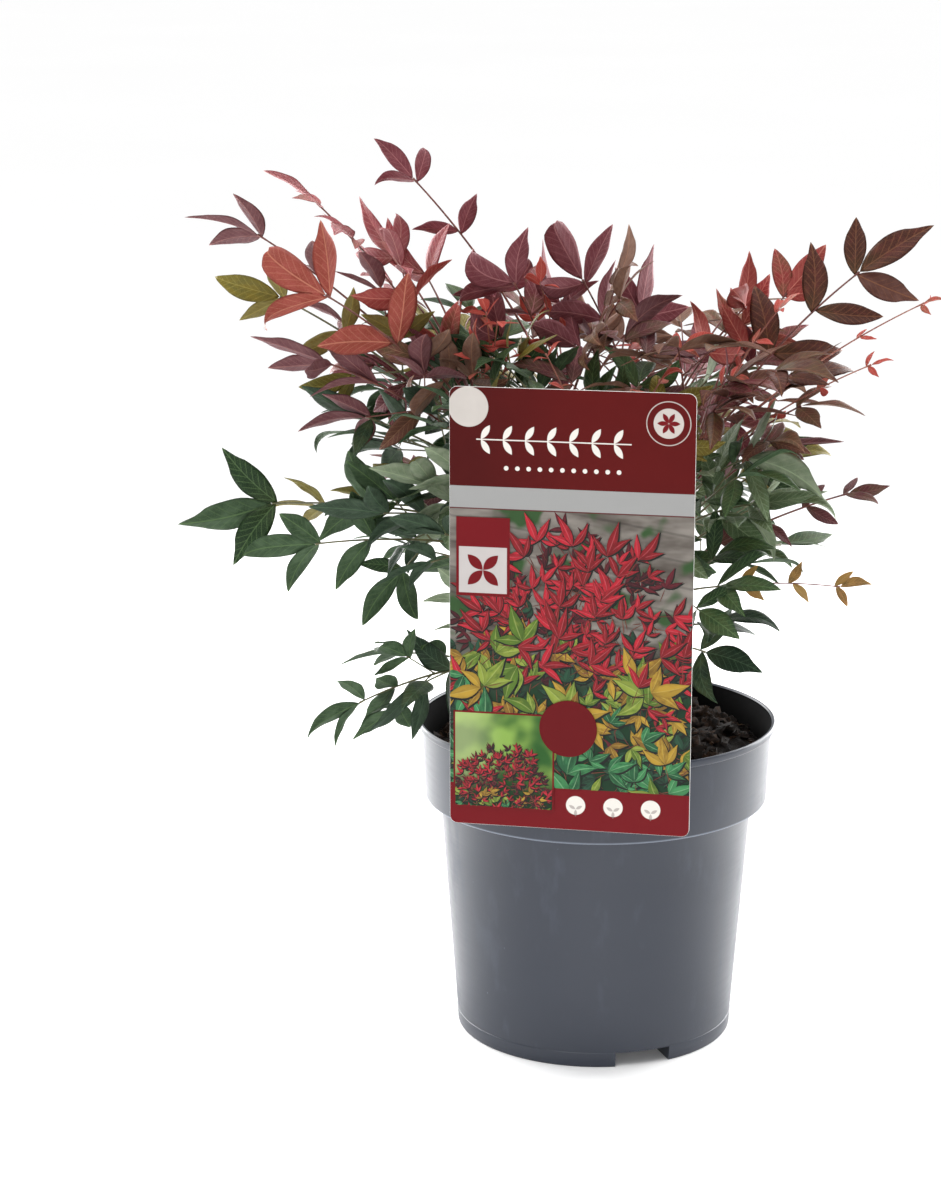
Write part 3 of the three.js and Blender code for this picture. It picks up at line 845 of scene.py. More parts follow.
def bark_flake(name, dark, light):
    made = new_finish(name, Specular_IOR_Level=0.16)
    grain = cloudy(place_on_piece((1, 6, 2)), 180, 5, 0.7)
    feed(made, "Base Color", grain.rising(0.3, 0.75).mixed(colour(dark), colour(light)))
    feed(made, "Roughness", 0.55 + grain * 0.3)
    feed(made, "Normal", bumped(grain, 0.6, 0.5))
    return made


# The clods' lighter brown is partly painted highlight.
for heaped, made in ((bed, peat("peat", 0x1E140F)), (clods, peat("peat_clod", 0x3E2A1B))):
    finished(heaped, made, ["soil"])
for litter, made in (
    (dark_chips, bark_flake("bark_dark", 0x060403, 0x261B14)),
    (brown_chips, bark_flake("bark_brown", 0x1A120D, 0x5A4232)),
    (fibres, bark_flake("coir", 0x2E2219, 0x6E5A42)),
):
    finished(litter, made, ["soil"], crease=25)

# %% [markdown]
# ## The card
#
# The grower hooks a laminated card over the rim. It could carry its print as an image, but here
# the print is drawn, and so stays sharp at any distance: masks in its finish make its bands, panels
# and discs, and flat strips of mesh its picture. The design is a general one for a shrub with autumn
# leaves, with no words on it. The mesh is a rounded sheet and a strip on its back that hooks over the
# bead.

# %% Card sizes
CARD_TURN = -98.9
CARD_WIDTH = 122
CARD_HEIGHT = 224
CARD_FOOT = 137
CARD_SHIFT = 1.5
CARD_THICKNESS = 0.8
CARD_CORNER = 4
CARD_EDGE = 0.15
HOOK_WIDTH = 24
HOOK_REACH = 7
HOOK_DROP = 12
HOOK_SEAM = 12
HOOK_SINK = 0.2  # how deep the strip is set into the card's back
CARD_GAP = 0.3
CARD_BACK = -(BEAD_RADIUS + CARD_GAP)
CARD_FRONT = -(BEAD_RADIUS + CARD_GAP + CARD_THICKNESS)


def card_outline(inset):
    """Corner arcs of the card's outline, drawn in by an inset."""
    half, r = CARD_WIDTH / 2 - inset, CARD_CORNER - inset
    low, high = CARD_FOOT + inset, CARD_FOOT + CARD_HEIGHT - inset
    corners = (half - r, low + r, -90), (half - r, high - r, 0)
    corners += (-half + r, high - r, 90), (-half + r, low + r, 180)
    outline = []
    for x, z, start in corners:
        outline += arc((x + CARD_SHIFT, z), r, start, start + 90, 8)
    return outline


print(len(card_outline(0)), "points round the card")


# %% The card's mesh
ATLAS_SPAN = 260  # in mm of the card


def card_sheet():
    """A sheet whose edges are eased: four outlines from its back to its front."""
    layers = [(CARD_EDGE, CARD_BACK), (0, CARD_BACK - CARD_EDGE)]
    layers += [(0, CARD_FRONT + CARD_EDGE), (CARD_EDGE, CARD_FRONT)]
    points = [(x, y, z) for inset, y in layers for x, z in card_outline(inset)]
    n = len(card_outline(0))
    faces = [tuple(range(n))[::-1], tuple(range(3 * n, 4 * n))]
    for layer in range(3):
        low, high = layer * n, (layer + 1) * n
        faces += [(low + i, low + (i + 1) % n, high + (i + 1) % n, high + i) for i in range(n)]
    return points, faces


def hook_strip():
    """The strip runs up the card's back, over the bead and down inside, with rounded bends."""
    y0 = CARD_BACK - HOOK_SINK
    over = POT_HEIGHT + CARD_GAP
    t = CARD_THICKNESS
    y1 = CARD_BACK + HOOK_REACH
    inner = y0 + t + HOOK_SINK
    outer = [(y0, over + HOOK_SEAM), (inner, over + HOOK_SEAM), (inner, over + t + 0.8)]
    outer += [(y0 + t + 1, over + t), (y1 - 1, over + t), (y1 - 0.3, over + t - 0.2)]
    outer += [(y1, over + t - 0.8), (y1, over - HOOK_DROP), (y1 - t, over - HOOK_DROP)]
    outer += [(y1 - t, over), (y0, over)]
    points = [(s * HOOK_WIDTH / 2, y, z) for s in (-1, 1) for y, z in outer]
    n = len(outer)
    faces = [tuple(range(n)), tuple(range(n, 2 * n))[::-1]]
    faces += [(i, n + i, n + (i + 1) % n, (i + 1) % n) for i in range(n)]
    return points, faces


def flat_place(x, z):
    """Where a place on the card's front lies in the atlas, which spans ATLAS_SPAN."""
    return Vector((x + CARD_WIDTH / 2 + 10, z - CARD_FOOT + 20)) / ATLAS_SPAN


def make_card():
    heap = Heap()
    heap.add(*card_sheet())
    heap.add(*hook_strip())
    card = heap.piece("plant_card")
    card.rotation_euler.z = math.radians(CARD_TURN + 90)
    front = CARD_FRONT * MM + 1e-6
    layer = card.data.uv_layers.new(name="OFBake")
    for face in card.data.polygons:
        shown = all(card.data.vertices[v].co.y < front for v in face.vertices)
        for corner, v in zip(face.loop_indices, face.vertices):
            x, _, z = card.data.vertices[v].co / MM
            at = flat_place(x, z)
            layer.data[corner].uv = at if shown else at * 0.25 + Vector((0.62, 0.2))
    return card


card = make_card()
print("card", [round(d / MM) for d in card.dimensions], "mm")

# %% [markdown]
# ### Its print
#
# Panels, bands and discs of the print are masks from 0 to 1, made of sums on the place on the card
# in millimetres, and the colours are laid over each other with these masks. A leaf of the garland or
# of a rosette is a lens: a strip whose half width follows a parabola along its midrib. Small raised
# shapes would do as well, but ink has no thickness, and a mask costs no mesh.
# The header's darker red, darker still towards the left, and the grey of the strip below it are  painted
# shade for the card's less-lit top.


# %% Print masks
SOFT = 0.12  # half the width of an ink edge, in mm


def band(value, low, high, soft=SOFT):
    return value.rising(low - soft, low + soft) * (1 - value.rising(high - soft, high + soft))


def panel(x, z, box):
    return band(x, box[0], box[1]) * band(z, box[2], box[3])


def root(value):
    return Wire.node("Math", {"operation": "SQRT"}, {0: value})


def disc(x, z, centre, radius):
    dx, dz = x - centre[0], z - centre[1]
    return 1 - root(dx * dx + dz * dz).rising(radius - SOFT, radius + SOFT)


def lens(x, z, cosine, sine, length, half_width):
    """A leaf shape that starts at the origin: how far inside its edge a place is."""
    along = (x * cosine + z * sine) / length
    aside = z * cosine - x * sine
    return along * (1 - along) * (4 * half_width) - abs(aside)


def inked(depth):
    return depth.rising(0, 2 * SOFT)


def largest(a, b):
    return Wire.node("Math", {"operation": "MAXIMUM"}, {0: a, 1: b})


print("print masks ready")

# %% Print colours
INK_RED = colour(0x700F17)
# The header's red, set darker than the footer's as painted shade for the card's less-lit top.
INK_RED_SHADED_TOP = colour(0x570909)
INK_PALE = colour(0xE6E2DB)
# The pale strip under the header, painted grey as shade for the card's less-lit top.
STRIP_PALE_SHADED = colour(0x9E9E9D)
PAPER = colour(0xF1F0EC)
PICTURE = (-59.3, 62.3, 158.6, 300.4)  # left, right, foot and top
WINDOW = (-56.6, -6.9, 147, 195.6)
HEADER_FOOT = 311.5
STRIP_FOOT = 300.5
FOOTER_TOP = 158.5


def planks(x, z):
    """A garden fence out of focus, with greenery before its foot."""
    far = Wire.node("CombineXYZ", {}, {0: x, 1: z * 3})
    haze = cloudy(far, 0.03, 3)
    wood = haze.rising(0.3, 0.7).mixed(colour(0x57504A), colour(0x8D8780))
    seam = ((z + x * 0.16) / 13).fraction()
    wood = (band(seam, 0.03, 0.12, 0.03) * 0.35).mixed(wood, colour(0x2E2A28))
    leafy = cloudy(Wire.node("CombineXYZ", {}, {0: x, 1: z}), 0.045, 2)
    up = (z - PICTURE[2]) / (PICTURE[3] - PICTURE[2])
    wood = leafy.rising(0.54, 0.64).mixed(wood, colour(0x35512F))
    return up.rising(0.62, 0.3).mixed(wood, colour(0x1E3826))


print("fence ready")

# %% Garland and rosettes
SPRIG_TURNS = (58, -58)
SPRIG_STEP = 11.0
SPRIG_FOOT = 3.2  # how far before the middle of its step a leaf starts
SPRIG_SPAN = (-46, 31)
SPRIG_HEIGHT = 335
DOTS, DOT_RADIUS = 11, 1.15
DOT_START, DOT_STEP, DOT_HEIGHT = -31, 5.6, 321


def sprig_row(x, z, height):
    """A garland along the header: a thin stem with a leaf to each side at every step."""
    place = (x - SPRIG_SPAN[0]) / SPRIG_STEP
    local = (place - place.floor() - 0.5) * SPRIG_STEP
    row = band(x, *SPRIG_SPAN)
    garland = band(z - height, -0.3, 0.3)
    for turn in SPRIG_TURNS:
        c, s = math.cos(math.radians(turn)), math.sin(math.radians(turn))
        garland = largest(garland, inked(lens(local + SPRIG_FOOT, z - height, c, s, 8.6, 1.7)))
    return garland * row


def rosette(x, z, centre, petals, length, half_width, first_turn=45):
    """Leaves that stand round a point."""
    flower = None
    for petal in range(petals):
        turn = math.radians(first_turn + 360 / petals * petal)
        c, s = math.cos(turn), math.sin(turn)
        one = inked(lens(x - centre[0], z - centre[1], c, s, length, half_width))
        flower = one if flower is None else largest(flower, one)
    return flower


print("garland:", (SPRIG_SPAN[1] - SPRIG_SPAN[0]) / SPRIG_STEP, "steps of leaves")

# %% What lies on the card: boxes are left, right, foot and top
TILE = (-56, -29, 256, 296)
TILE_FACE = (-54.6, -30.4, 257.6, 281)
TILE_FLOWER_AT = (-42.5, 269.3)
INSET = (-57.5, -6, 146, 196.5)
SPOT_AT, SPOT_RADIUS = (1, 190), 14.6
SEAL_AT, SEAL_RADIUS, SEAL_FACE_RADIUS = (49, 346), 11, 7.4
STICKER_AT, STICKER_RADIUS = (-50, 351), 10
CARE_PLACES, CARE_HEIGHT, CARE_RADIUS = (5, 24, 43), 150, 4.9


def small_window(x, z):
    """The ground of the little picture: a sunlit hedge."""
    at = Wire.node("CombineXYZ", {}, {0: x, 1: z})
    hedge = cloudy(at, 0.045, 2).rising(0.35, 0.65)
    window = hedge.mixed(colour(0x2F5A2A), colour(0x86A850))
    window = (x.rising(-30, -52) * 0.4).mixed(window, colour(0xC8D49A))
    return z.rising(172, 152).mixed(window, colour(0x1C3620))


def emblems(art, x, z, wear):
    """Garland, dots, seal and sticker, laid over the header and the footer's care discs."""
    for place in CARE_PLACES:
        art = disc(x, z, (place, CARE_HEIGHT), CARE_RADIUS).mixed(art, INK_PALE)
        leaves = rosette(x, z, (place, CARE_HEIGHT - 2), 3, 4, 0.9, 30)
        art = (leaves * 0.6).mixed(art, colour(0x8A7A76))
    art = sprig_row(x, z, SPRIG_HEIGHT).mixed(art, INK_PALE)
    for dot in range(DOTS):
        middle = (DOT_START + DOT_STEP * dot, DOT_HEIGHT)
        art = disc(x, z, middle, DOT_RADIUS).mixed(art, INK_PALE)
    seal = disc(x, z, SEAL_AT, SEAL_RADIUS) - disc(x, z, SEAL_AT, SEAL_RADIUS - 0.5)
    art = (seal * 0.6).mixed(art, INK_PALE)
    art = (disc(x, z, SEAL_AT, SEAL_FACE_RADIUS) * 0.7).mixed(art, INK_PALE)
    art = rosette(x, z, SEAL_AT, 6, 5.8, 1.3, 0).mixed(art, INK_RED)
    sticker = disc(x, z, STICKER_AT, STICKER_RADIUS)
    return (sticker * (0.6 + wear * 0.2)).mixed(art, INK_PALE)


print("tile", TILE[1] - TILE[0], "mm wide, inset", INSET[1] - INSET[0], "mm wide")


# %% The card's finish
def card_print():
    made = new_finish("card_print", Specular_IOR_Level=0.14)
    at = Wire.node("TexCoord", output=3)
    x, y, z = (Wire.node("SeparateXYZ", {}, {0: at}, output=i) / MM for i in range(3))
    art = panel(x, z, TILE).mixed(planks(x, z), INK_RED)
    art = panel(x, z, TILE_FACE).mixed(art, colour(0xC2BCBA))
    art = rosette(x, z, TILE_FLOWER_AT, 4, 11, 2.6).mixed(art, INK_RED)
    inset = panel(x, z, INSET)
    art = inset.mixed(art, INK_RED)
    art = panel(x, z, WINDOW).mixed(art, small_window(x, z))
    art = disc(x, z, SPOT_AT, SPOT_RADIUS).mixed(art, colour(0x640C12))
    # Painted shade: the header's red is darker than the footer's, and darker still towards the left
    # edge.
    header = x.rising(-61, 20).mixed(shaded(INK_RED_SHADED_TOP, 0.62), INK_RED_SHADED_TOP)
    art = (z > HEADER_FOOT).mixed(art, header)
    wear = cloudy(Wire.node("CombineXYZ", {}, {0: x, 1: z}), 0.06, 4)
    art = ((z > HEADER_FOOT) * wear * 0.12).mixed(art, colour(0x7E1A18))
    # Painted shade: the pale strip under the header is drawn grey.
    art = band(z, STRIP_FOOT, HEADER_FOOT).mixed(art, STRIP_PALE_SHADED)
    art = band(z, STRIP_FOOT - 0.5, STRIP_FOOT + 0.1).mixed(art, colour(0x5A2A2C))
    footer = (1 - z.rising(FOOTER_TOP - SOFT, FOOTER_TOP + SOFT)) * (1 - inset)
    art = footer.mixed(art, INK_RED)
    art = emblems(art, x, z, wear)
    face = 1 - y.rising(CARD_FRONT + 0.02, CARD_FRONT + 0.06)
    feed(made, "Base Color", face.mixed(PAPER, art))
    feed(made, "Roughness", 0.34 + wear * 0.14)
    feed(made, "Normal", bumped(wear, 0.06, 0.6))
    return made


card_ink = card_print()
finished(card, card_ink, ["plant_label"], crease=30)

# %% [markdown]
# ### Its picture
#
# The picture shows a shrub like the one in the pot, all leaves: red at its top, ochre between and
# green below. Each printed leaf is a flat strip of mesh a hair above the card, and the strips lie on
# each other like cut paper, from the shrub's dark depth to its bright front. A darker strip under
# each makes its soft shadow. What the card shows over the picture, its tile, its disc and its small
# window, is lifted above the strips.

# %% A printed leaf
PRINT_LIFT = 0.02
SPOT_LIFT = 0.4
PRINT_STEP = 0.0012
SHADE_DROP = 0.0005
PRINT_RUNS = 7
PRINT_LOOKS = 4
PRINT_HALF = 0.45  # half a leaf's width in its row of the atlas


def printed_leaf(foot, turn, length, half, lift, frame_box, bend=0.0):
    """A flat leaf on the card: its points and faces. It is cut off where its picture ends."""
    c, s = math.cos(math.radians(turn)), math.sin(math.radians(turn))
    points = []
    for i in range(PRINT_RUNS + 1):
        u = i / PRINT_RUNS
        wide = half * math.sin(math.pi * u**0.78) ** 1.25
        for side in (-1, 0, 1):
            aside = side * wide + bend * math.sin(math.pi * u)
            x = foot[0] + c * length * u - s * aside
            z = foot[1] + s * length * u + c * aside
            x = min(max(x, frame_box[0]), frame_box[1])
            z = min(max(z, frame_box[2]), frame_box[3])
            points.append((x, CARD_FRONT - lift, z))
    faces = []
    for i in range(PRINT_RUNS):
        for j in (0, 1):
            a, b = 3 * i + j, 3 * (i + 1) + j
            faces.append((a, b, b + 1, a + 1))
    return points, faces


def print_uv(look):
    """Where the strip's corners lie in the atlas: along it, and across one of its rows."""
    at = []
    for i in range(PRINT_RUNS):
        for j in (0, 1):
            for run, side in ((i, j), (i + 1, j), (i + 1, j + 1), (i, j + 1)):
                across = (look + 0.5 + PRINT_HALF * (side - 1)) / PRINT_LOOKS
                at.append((0.02 + 0.96 * run / PRINT_RUNS, across))
    return at


print("points on a printed leaf:", len(printed_leaf((0, 200), 90, 10, 2, 0, PICTURE)[0]))

# %% Printed tones: two colours and a rib
PRINT_TONES = {
    "shade": (0x0A100C, 0x0E1610, 0x0E1610),
    "deep": (0x0F2C1C, 0x1C4630, 0x2C5A3C),
    "wine": (0x340810, 0x5E101E, 0x6E2430),
    "red": (0x7C0A14, 0xB41A2C, 0xCC646C),
    "ochre": (0x7C5A1C, 0xAE8C2C, 0xBEA450),
    "lime": (0x4E6C1E, 0x88983A, 0xA8B264),
    "green": (0x1A5230, 0x3E8650, 0x8CBA8C),
    "stem": (0x5A2A22, 0x7A4030, 0x7A4030),
}


def print_tone(rng, x, z):
    """Green at the picture's foot, lime and ochre above it, and red on top."""
    up = (z - PICTURE[2]) / (PICTURE[3] - PICTURE[2]) + 0.001 * x + rng.normal(0, 0.09)
    if up > 0.46:
        return "red"
    if up > 0.2:
        return rng.choice(["ochre", "lime", "red"], p=[0.42, 0.38, 0.2])
    return rng.choice(["green", "lime"], p=[0.88, 0.12])


def printed_three(heaps, rng, at, tone, length, lift, frame_box, lean):
    """Three leaves on a stem, each over its own shadow."""
    turn = lean + rng.normal(0, 28)
    way = np.array((math.cos(math.radians(turn)), math.sin(math.radians(turn))))
    slim = 0.125 if tone in ("red", "wine") else 0.18
    stem = printed_leaf(at - way * length * 0.7, turn, length * 0.75, 0.22, lift, frame_box)
    heaps["stem"].append(stem)
    for order, (splay, share) in enumerate(((50, 0.82), (-50, 0.82), (0, 1.0))):
        long = length * share * rng.uniform(0.85, 1.1)
        angle = turn + splay + rng.normal(0, 8)
        over = lift + PRINT_STEP * 0.25 * (order + 1)
        bend = rng.normal(0, 0.05) * long
        shadow = at + (0.35, -0.6)
        size = long * slim
        heaps["shade"].append(
            printed_leaf(shadow, angle, long * 1.05, size * 1.12, over - SHADE_DROP, frame_box, bend)
        )
        heaps[tone].append(printed_leaf(at, angle, long, size, over, frame_box, bend))


print(len(PRINT_TONES), "printed tones")

# %% How the pictures are drawn
SHRUB_MIDDLE, SHRUB_REACH = (3, 196), (68, 100)
BUSH_MIDDLE, BUSH_REACH = (-32, 154), (25, 27)
SHRUB_DEPTHS = ((240, (8, 11)), (240, (10, 15)), (90, (15, 21)))
BUSH_DEPTHS = ((150, (3, 4.5)), (150, (4, 6)))
BUSH_TONE_SPAN = 150  # how far up the large picture's tones the bush runs, in mm


def spot_in(rng, middle, reach):
    while True:
        dx, dz = rng.uniform(-1, 1, 2)
        if dx * dx + dz * dz + 0.25 * rng.uniform() < 1:
            return np.array((middle[0] + dx * reach[0], middle[1] + dz * reach[1])), dx


def draw_picture(heaps, rng, middle, reach, depths, frame_box, first_lift):
    lift = first_lift
    for depth, (count, sizes) in enumerate(depths):
        for _ in range(count):
            at, dx = spot_in(rng, middle, reach)
            inside = (frame_box[0] - 4 < at[0] < frame_box[1] + 4) and at[1] > frame_box[2] - 6
            if not inside or at[1] > frame_box[3] - sizes[0]:
                continue
            share = (at[1] - middle[1] + reach[1]) / (2 * reach[1])
            height = PICTURE[2] + share * BUSH_TONE_SPAN
            tone = print_tone(rng, at[0], height if frame_box is WINDOW else at[1])
            if depth == 0:
                tone = "wine" if tone == "red" else "deep"
            spread = 0.35 if tone in ("red", "wine") else 1.0
            lean = 90 - 75 * dx + rng.normal(0, 60) * spread
            length = rng.uniform(*sizes) * (0.85 if tone == "red" else 1)
            printed_three(heaps, rng, at, tone, length, lift, frame_box, lean)
            lift += PRINT_STEP
    return lift


print("depths:", len(SHRUB_DEPTHS), "in the shrub,", len(BUSH_DEPTHS), "in the bush")


# %% Both pictures
def flat_disc(centre, radius, lift, steps=48):
    turns = [2 * math.pi * i / steps for i in range(steps)]
    ring = [(centre[0] + radius * math.cos(a), centre[1] + radius * math.sin(a)) for a in turns]
    return [(x, CARD_FRONT - lift, z) for x, z in ring], [tuple(range(steps))]


def flat_panel(box, lift):
    left, right, low, high = box
    corners = (left, low), (right, low), (right, high), (left, high)
    return [(x, CARD_FRONT - lift, z) for x, z in corners], [(0, 1, 2, 3)]


print_rng = np.random.default_rng(23)
prints = {tone: [] for tone in PRINT_TONES}
top_lift = draw_picture(prints, print_rng, SHRUB_MIDDLE, SHRUB_REACH, SHRUB_DEPTHS, PICTURE, PRINT_LIFT)
panel_lift = top_lift + PRINT_LIFT
draw_picture(prints, print_rng, BUSH_MIDDLE, BUSH_REACH, BUSH_DEPTHS, WINDOW, panel_lift + PRINT_LIFT)
print("printed leaves:", sum(map(len, prints.values())), "up to", round(top_lift, 2), "mm high")

# %% The print's pieces
def print_finish(tone):
    first, second, rib = (colour(code) for code in PRINT_TONES[tone])
    made = new_finish("print_" + tone, Roughness=0.4, Specular_IOR_Level=0.3)
    at = Wire.node("UVMap", {"uv_map": "OFBake"})
    x, y = (Wire.node("SeparateXYZ", {}, {0: at}, output=i) for i in (0, 1))
    look = (y * PRINT_LOOKS).floor()
    across = ((y * PRINT_LOOKS).fraction() - 0.5) / PRINT_HALF
    place = Wire.node("CombineXYZ", {}, {0: x * 2, 1: across, 2: look * 5})
    paint = cloudy(place, 1.4, 3)
    tint = (paint + look * 0.12 - 0.2).rising(0.3, 0.7).mixed(first, second)
    tint = tint * (0.82 + across.rising(-0.15, 0.15) * 0.22)
    tint = (abs(across).rising(0.6, 1.0) * 0.2).mixed(tint, shaded(first, 0.6))
    tint = (x.rising(0.3, 0.0) * 0.5).mixed(tint, shaded(first, 0.6))
    tint = ((1 - abs(across).rising(0.03, 0.14)) * 0.45).mixed(tint, rib)
    feed(made, "Base Color", tint)
    return made


for tone, strips in prints.items():
    heap = Heap()
    uvs = []
    for strip in strips:
        heap.add(*strip)
        uvs += print_uv(print_rng.integers(PRINT_LOOKS))
    sheet = heap.piece("print_" + tone)
    sheet.data.uv_layers.new(name="OFBake").data.foreach_set("uv", np.array(uvs).ravel())
    sheet.rotation_euler.z = card.rotation_euler.z
    finished(sheet, print_finish(tone), ["plant_label"])
heap = Heap()
for box in (TILE, INSET):
    heap.add(*flat_panel(box, panel_lift))
heap.add(*flat_disc(SPOT_AT, SPOT_RADIUS, panel_lift + SPOT_LIFT))
panels = heap.piece("card_panels")
layer = panels.data.uv_layers.new(name="OFBake")
for corner in panels.data.loops:
    x, _, z = panels.data.vertices[corner.vertex_index].co / MM
    layer.data[corner.index].uv = flat_place(x, z)
panels.rotation_euler.z = card.rotation_euler.z
finished(panels, card_ink, ["plant_label"])

# %% [markdown]
# ## How the shrub grows
#
# Heavenly bamboo sends up a handful of thin unbranched canes. Its leaves are compound: a thin main
# stalk stands out from the cane and ends in three leaflets, and pairs of leaflets or of stalked threes
# stand at joints along it. The plain model grows each such spray by rule from one row of a table. The
# same rule and the same table are written again here, so that most fine leaflets lie where their plain
# ones do. The plain ones are solids that may not touch, so about one fine leaflet in six stands at
# another angle than its plain one, or has none. Then the rule is carried on to finer growth.


# %% Directions
def unit(v):
    return v / np.linalg.norm(v)


def heading(turn, rise):
    """A direction from a turn about Z and a rise above level, in degrees."""
    turn, rise = math.radians(turn), math.radians(rise)
    level = math.cos(rise)
    return np.array((math.cos(turn) * level, math.sin(turn) * level, math.sin(rise)))


def turned(v, axis, degrees):
    """A vector turned about a unit axis."""
    a = math.radians(degrees)
    c, s = math.cos(a), math.sin(a)
    return v * c + np.cross(axis, v) * s + axis * (axis @ v) * (1 - c)


def square(a, b):
    return unit(np.cross(a, b))


class Bow:
    """A quadratic curve from a root over a knee to a tip."""

    def __init__(self, root, knee, tip):
        self.root, self.knee, self.tip = root, knee, tip

    def at(self, t):
        return self.root * (1 - t) ** 2 + self.knee * (2 * t * (1 - t)) + self.tip * t * t

    def way(self, t):
        return unit((self.knee - self.root) * (1 - t) + (self.tip - self.knee) * t)

    def line(self, steps):
        return [self.at(i / steps) for i in range(steps + 1)]


UP = np.array((0.0, 0.0, 1.0))
print("a heading:", heading(90, 30).round(2))


# %% Repeatable draws
def seeded(seed):
    """A repeatable stream of numbers from 0 to 1, the same as the plain model draws."""
    state = (seed * 2654435761) & 0xFFFFFFFF

    def draw():
        nonlocal state
        state = (state * 1664525 + 1013904223) & 0xFFFFFFFF
        return state / 4294967296

    draw()
    draw()
    return draw


def between(ends, draw):
    return ends[0] + (ends[1] - ends[0]) * draw()


def wobble(draw, span):
    return (draw() * 2 - 1) * span


print("first draw of seed 1:", round(seeded(1)(), 4))

# %% Canes: turn, foot radius, lean, height and radii
CANES = {
    "cane_left": (183, 14, 46, 174, 3.0, 1.7),
    "cane_right": (5, 16, 38, 166, 3.0, 1.7),
    "cane_middle": (120, 12, 24, 181, 3.2, 1.7),
    "cane_back_left": (142, 20, 50, 148, 2.8, 1.6),
    "cane_back_right": (60, 17, 42, 158, 2.8, 1.6),
    "cane_front": (272, 20, 24, 146, 2.6, 1.5),
    "cane_low_left": (205, 26, 30, 54, 2.4, 1.5),
    "cane_low_right": (325, 25, 26, 74, 2.4, 1.5),
}
KNEE_HEIGHT = 0.55
KNEE_LEAN = 0.15


def cane_curve(turn, foot, lean, height):
    out = heading(turn, 0)
    ground = UP * (SOIL_TOP + 0.3)
    knee = out * (foot + lean * KNEE_LEAN) + UP * height * KNEE_HEIGHT
    return Bow(out * foot + ground, knee + ground, out * (foot + lean) + UP * height + ground)


cane_lines = {name: cane_curve(*row[:4]) for name, row in CANES.items()}
print(len(cane_lines), "canes")

# %% Sprays: name, cane, grip, turn, rise, reach, roll, joints, leaf, tone
# The grip is how far up its cane a spray stands, as a share. Turn, rise and roll are in degrees, and
# reach and leaf, the lengths of the main stalk and of a leaflet, in millimetres. Each figure of the
# joints is a pair: 1 for two leaflets, 3 for two stalked threes.
SPRAYS = [
    ("top_left", "cane_middle", 0.97, 186, 57, 143, 55, "11", 30, "burgundy"),
    ("rose_left", "cane_left", 0.99, 168, 52, 142, 25, "33", 34, "rose"),
    ("coral_left", "cane_left", 0.93, 214, 41, 127, 75, "1", 48, "coral"),
    ("far_left", "cane_left", 0.92, 178, 42, 162, 45, "31", 38, "plum"),
    ("olive_left", "cane_left", 0.87, 190, 38, 142, 72, "31", 33, "olive"),
    ("plum_left", "cane_left", 0.84, 202, 33, 112, 45, "31", 40, "plum"),
    ("green_left", "cane_left", 0.8, 160, 13, 84, 20, "3", 30, "green"),
    ("long_left", "cane_left", 0.62, 184, 8, 134, 85, "1", 46, "green"),
    ("long_left_behind", "cane_left", 0.66, 173, 3, 108, 50, "31", 32, "olive"),
    ("drooping_left", "cane_left", 0.56, 200, 7, 118, 80, "31", 38, "green"),
    ("dark_left", "cane_left", 0.48, 225, 28, 76, 50, "3", 36, "dark"),
    ("low_left", "cane_low_left", 0.94, 208, -9, 82, 65, "31", 34, "green"),
    ("low_left_rising", "cane_low_left", 0.8, 190, 12, 60, 40, "1", 32, "green"),
    ("top_right", "cane_right", 0.97, 2, 49, 119, 80, "11", 42, "brown"),
    ("red_right", "cane_right", 0.95, 20, 60, 92, 75, "1", 30, "red"),
    ("front_right", "cane_right", 0.88, 308, 43, 88, 30, "3", 38, "brown"),
    ("bronze_right", "cane_right", 0.8, 339, 39, 80, 15, "3", 36, "bronze"),
    ("flat_right", "cane_back_right", 0.97, 20, 60, 80, 5, "31", 44, "bronze"),
    ("red_right_behind", "cane_right", 0.86, 46, 62, 84, 70, "", 32, "red"),
    ("centre_top", "cane_back_right", 0.93, 222, 64, 106, 75, "31", 44, "burgundy"),
    ("centre_upright", "cane_middle", 0.93, 237, 58, 90, 60, "31", 42, "burgundy"),
    ("centre_green", "cane_left", 0.99, 110, 66, 60, 15, "31", 34, "green"),
    ("front_green", "cane_front", 0.97, 169, 53, 85, 20, "3", 34, "green"),
    ("front_plum", "cane_front", 0.93, 78, 57, 92, 15, "33", 38, "plum"),
    ("front_bronze", "cane_right", 0.9, 258, 60, 76, 15, "33", 38, "bronze"),
    ("front_brown", "cane_right", 0.7, 290, 50, 90, 10, "3", 38, "brown"),
    ("plum_right_low", "cane_right", 0.5, 1, 26, 110, 50, "111", 22, "plum"),
    ("amber_right_low", "cane_right", 0.45, 347, 7, 99, 70, "11", 17, "amber"),
    ("green_right", "cane_right", 0.6, 307, 40, 77, 30, "3", 40, "green"),
    ("grey_right", "cane_right", 0.55, 335, 35, 66, 20, "3", 40, "grey"),
    ("plum_right", "cane_right", 0.64, 347, 46, 72, 20, "1", 38, "plum"),
    ("low_right", "cane_low_right", 0.96, 330, 14, 15, 20, "", 38, "dark"),
    ("low_right_hanging", "cane_low_right", 0.8, 340, -5, 20, 80, "", 36, "dark"),
    ("shoot_right", "cane_right", 0.9, 354, 37, 144, 40, "11", 13, "young"),
    ("shoot_right_low", "cane_right", 0.84, 338, 35, 118, 60, "11", 12, "young"),
    ("shoot_left", "cane_left", 0.97, 250, 80, 64, 0, "31", 14, "young"),
]
BACK_COUNT = 12
BACK_TONES = ("green", "burgundy", "dark", "plum", "bronze", "olive")


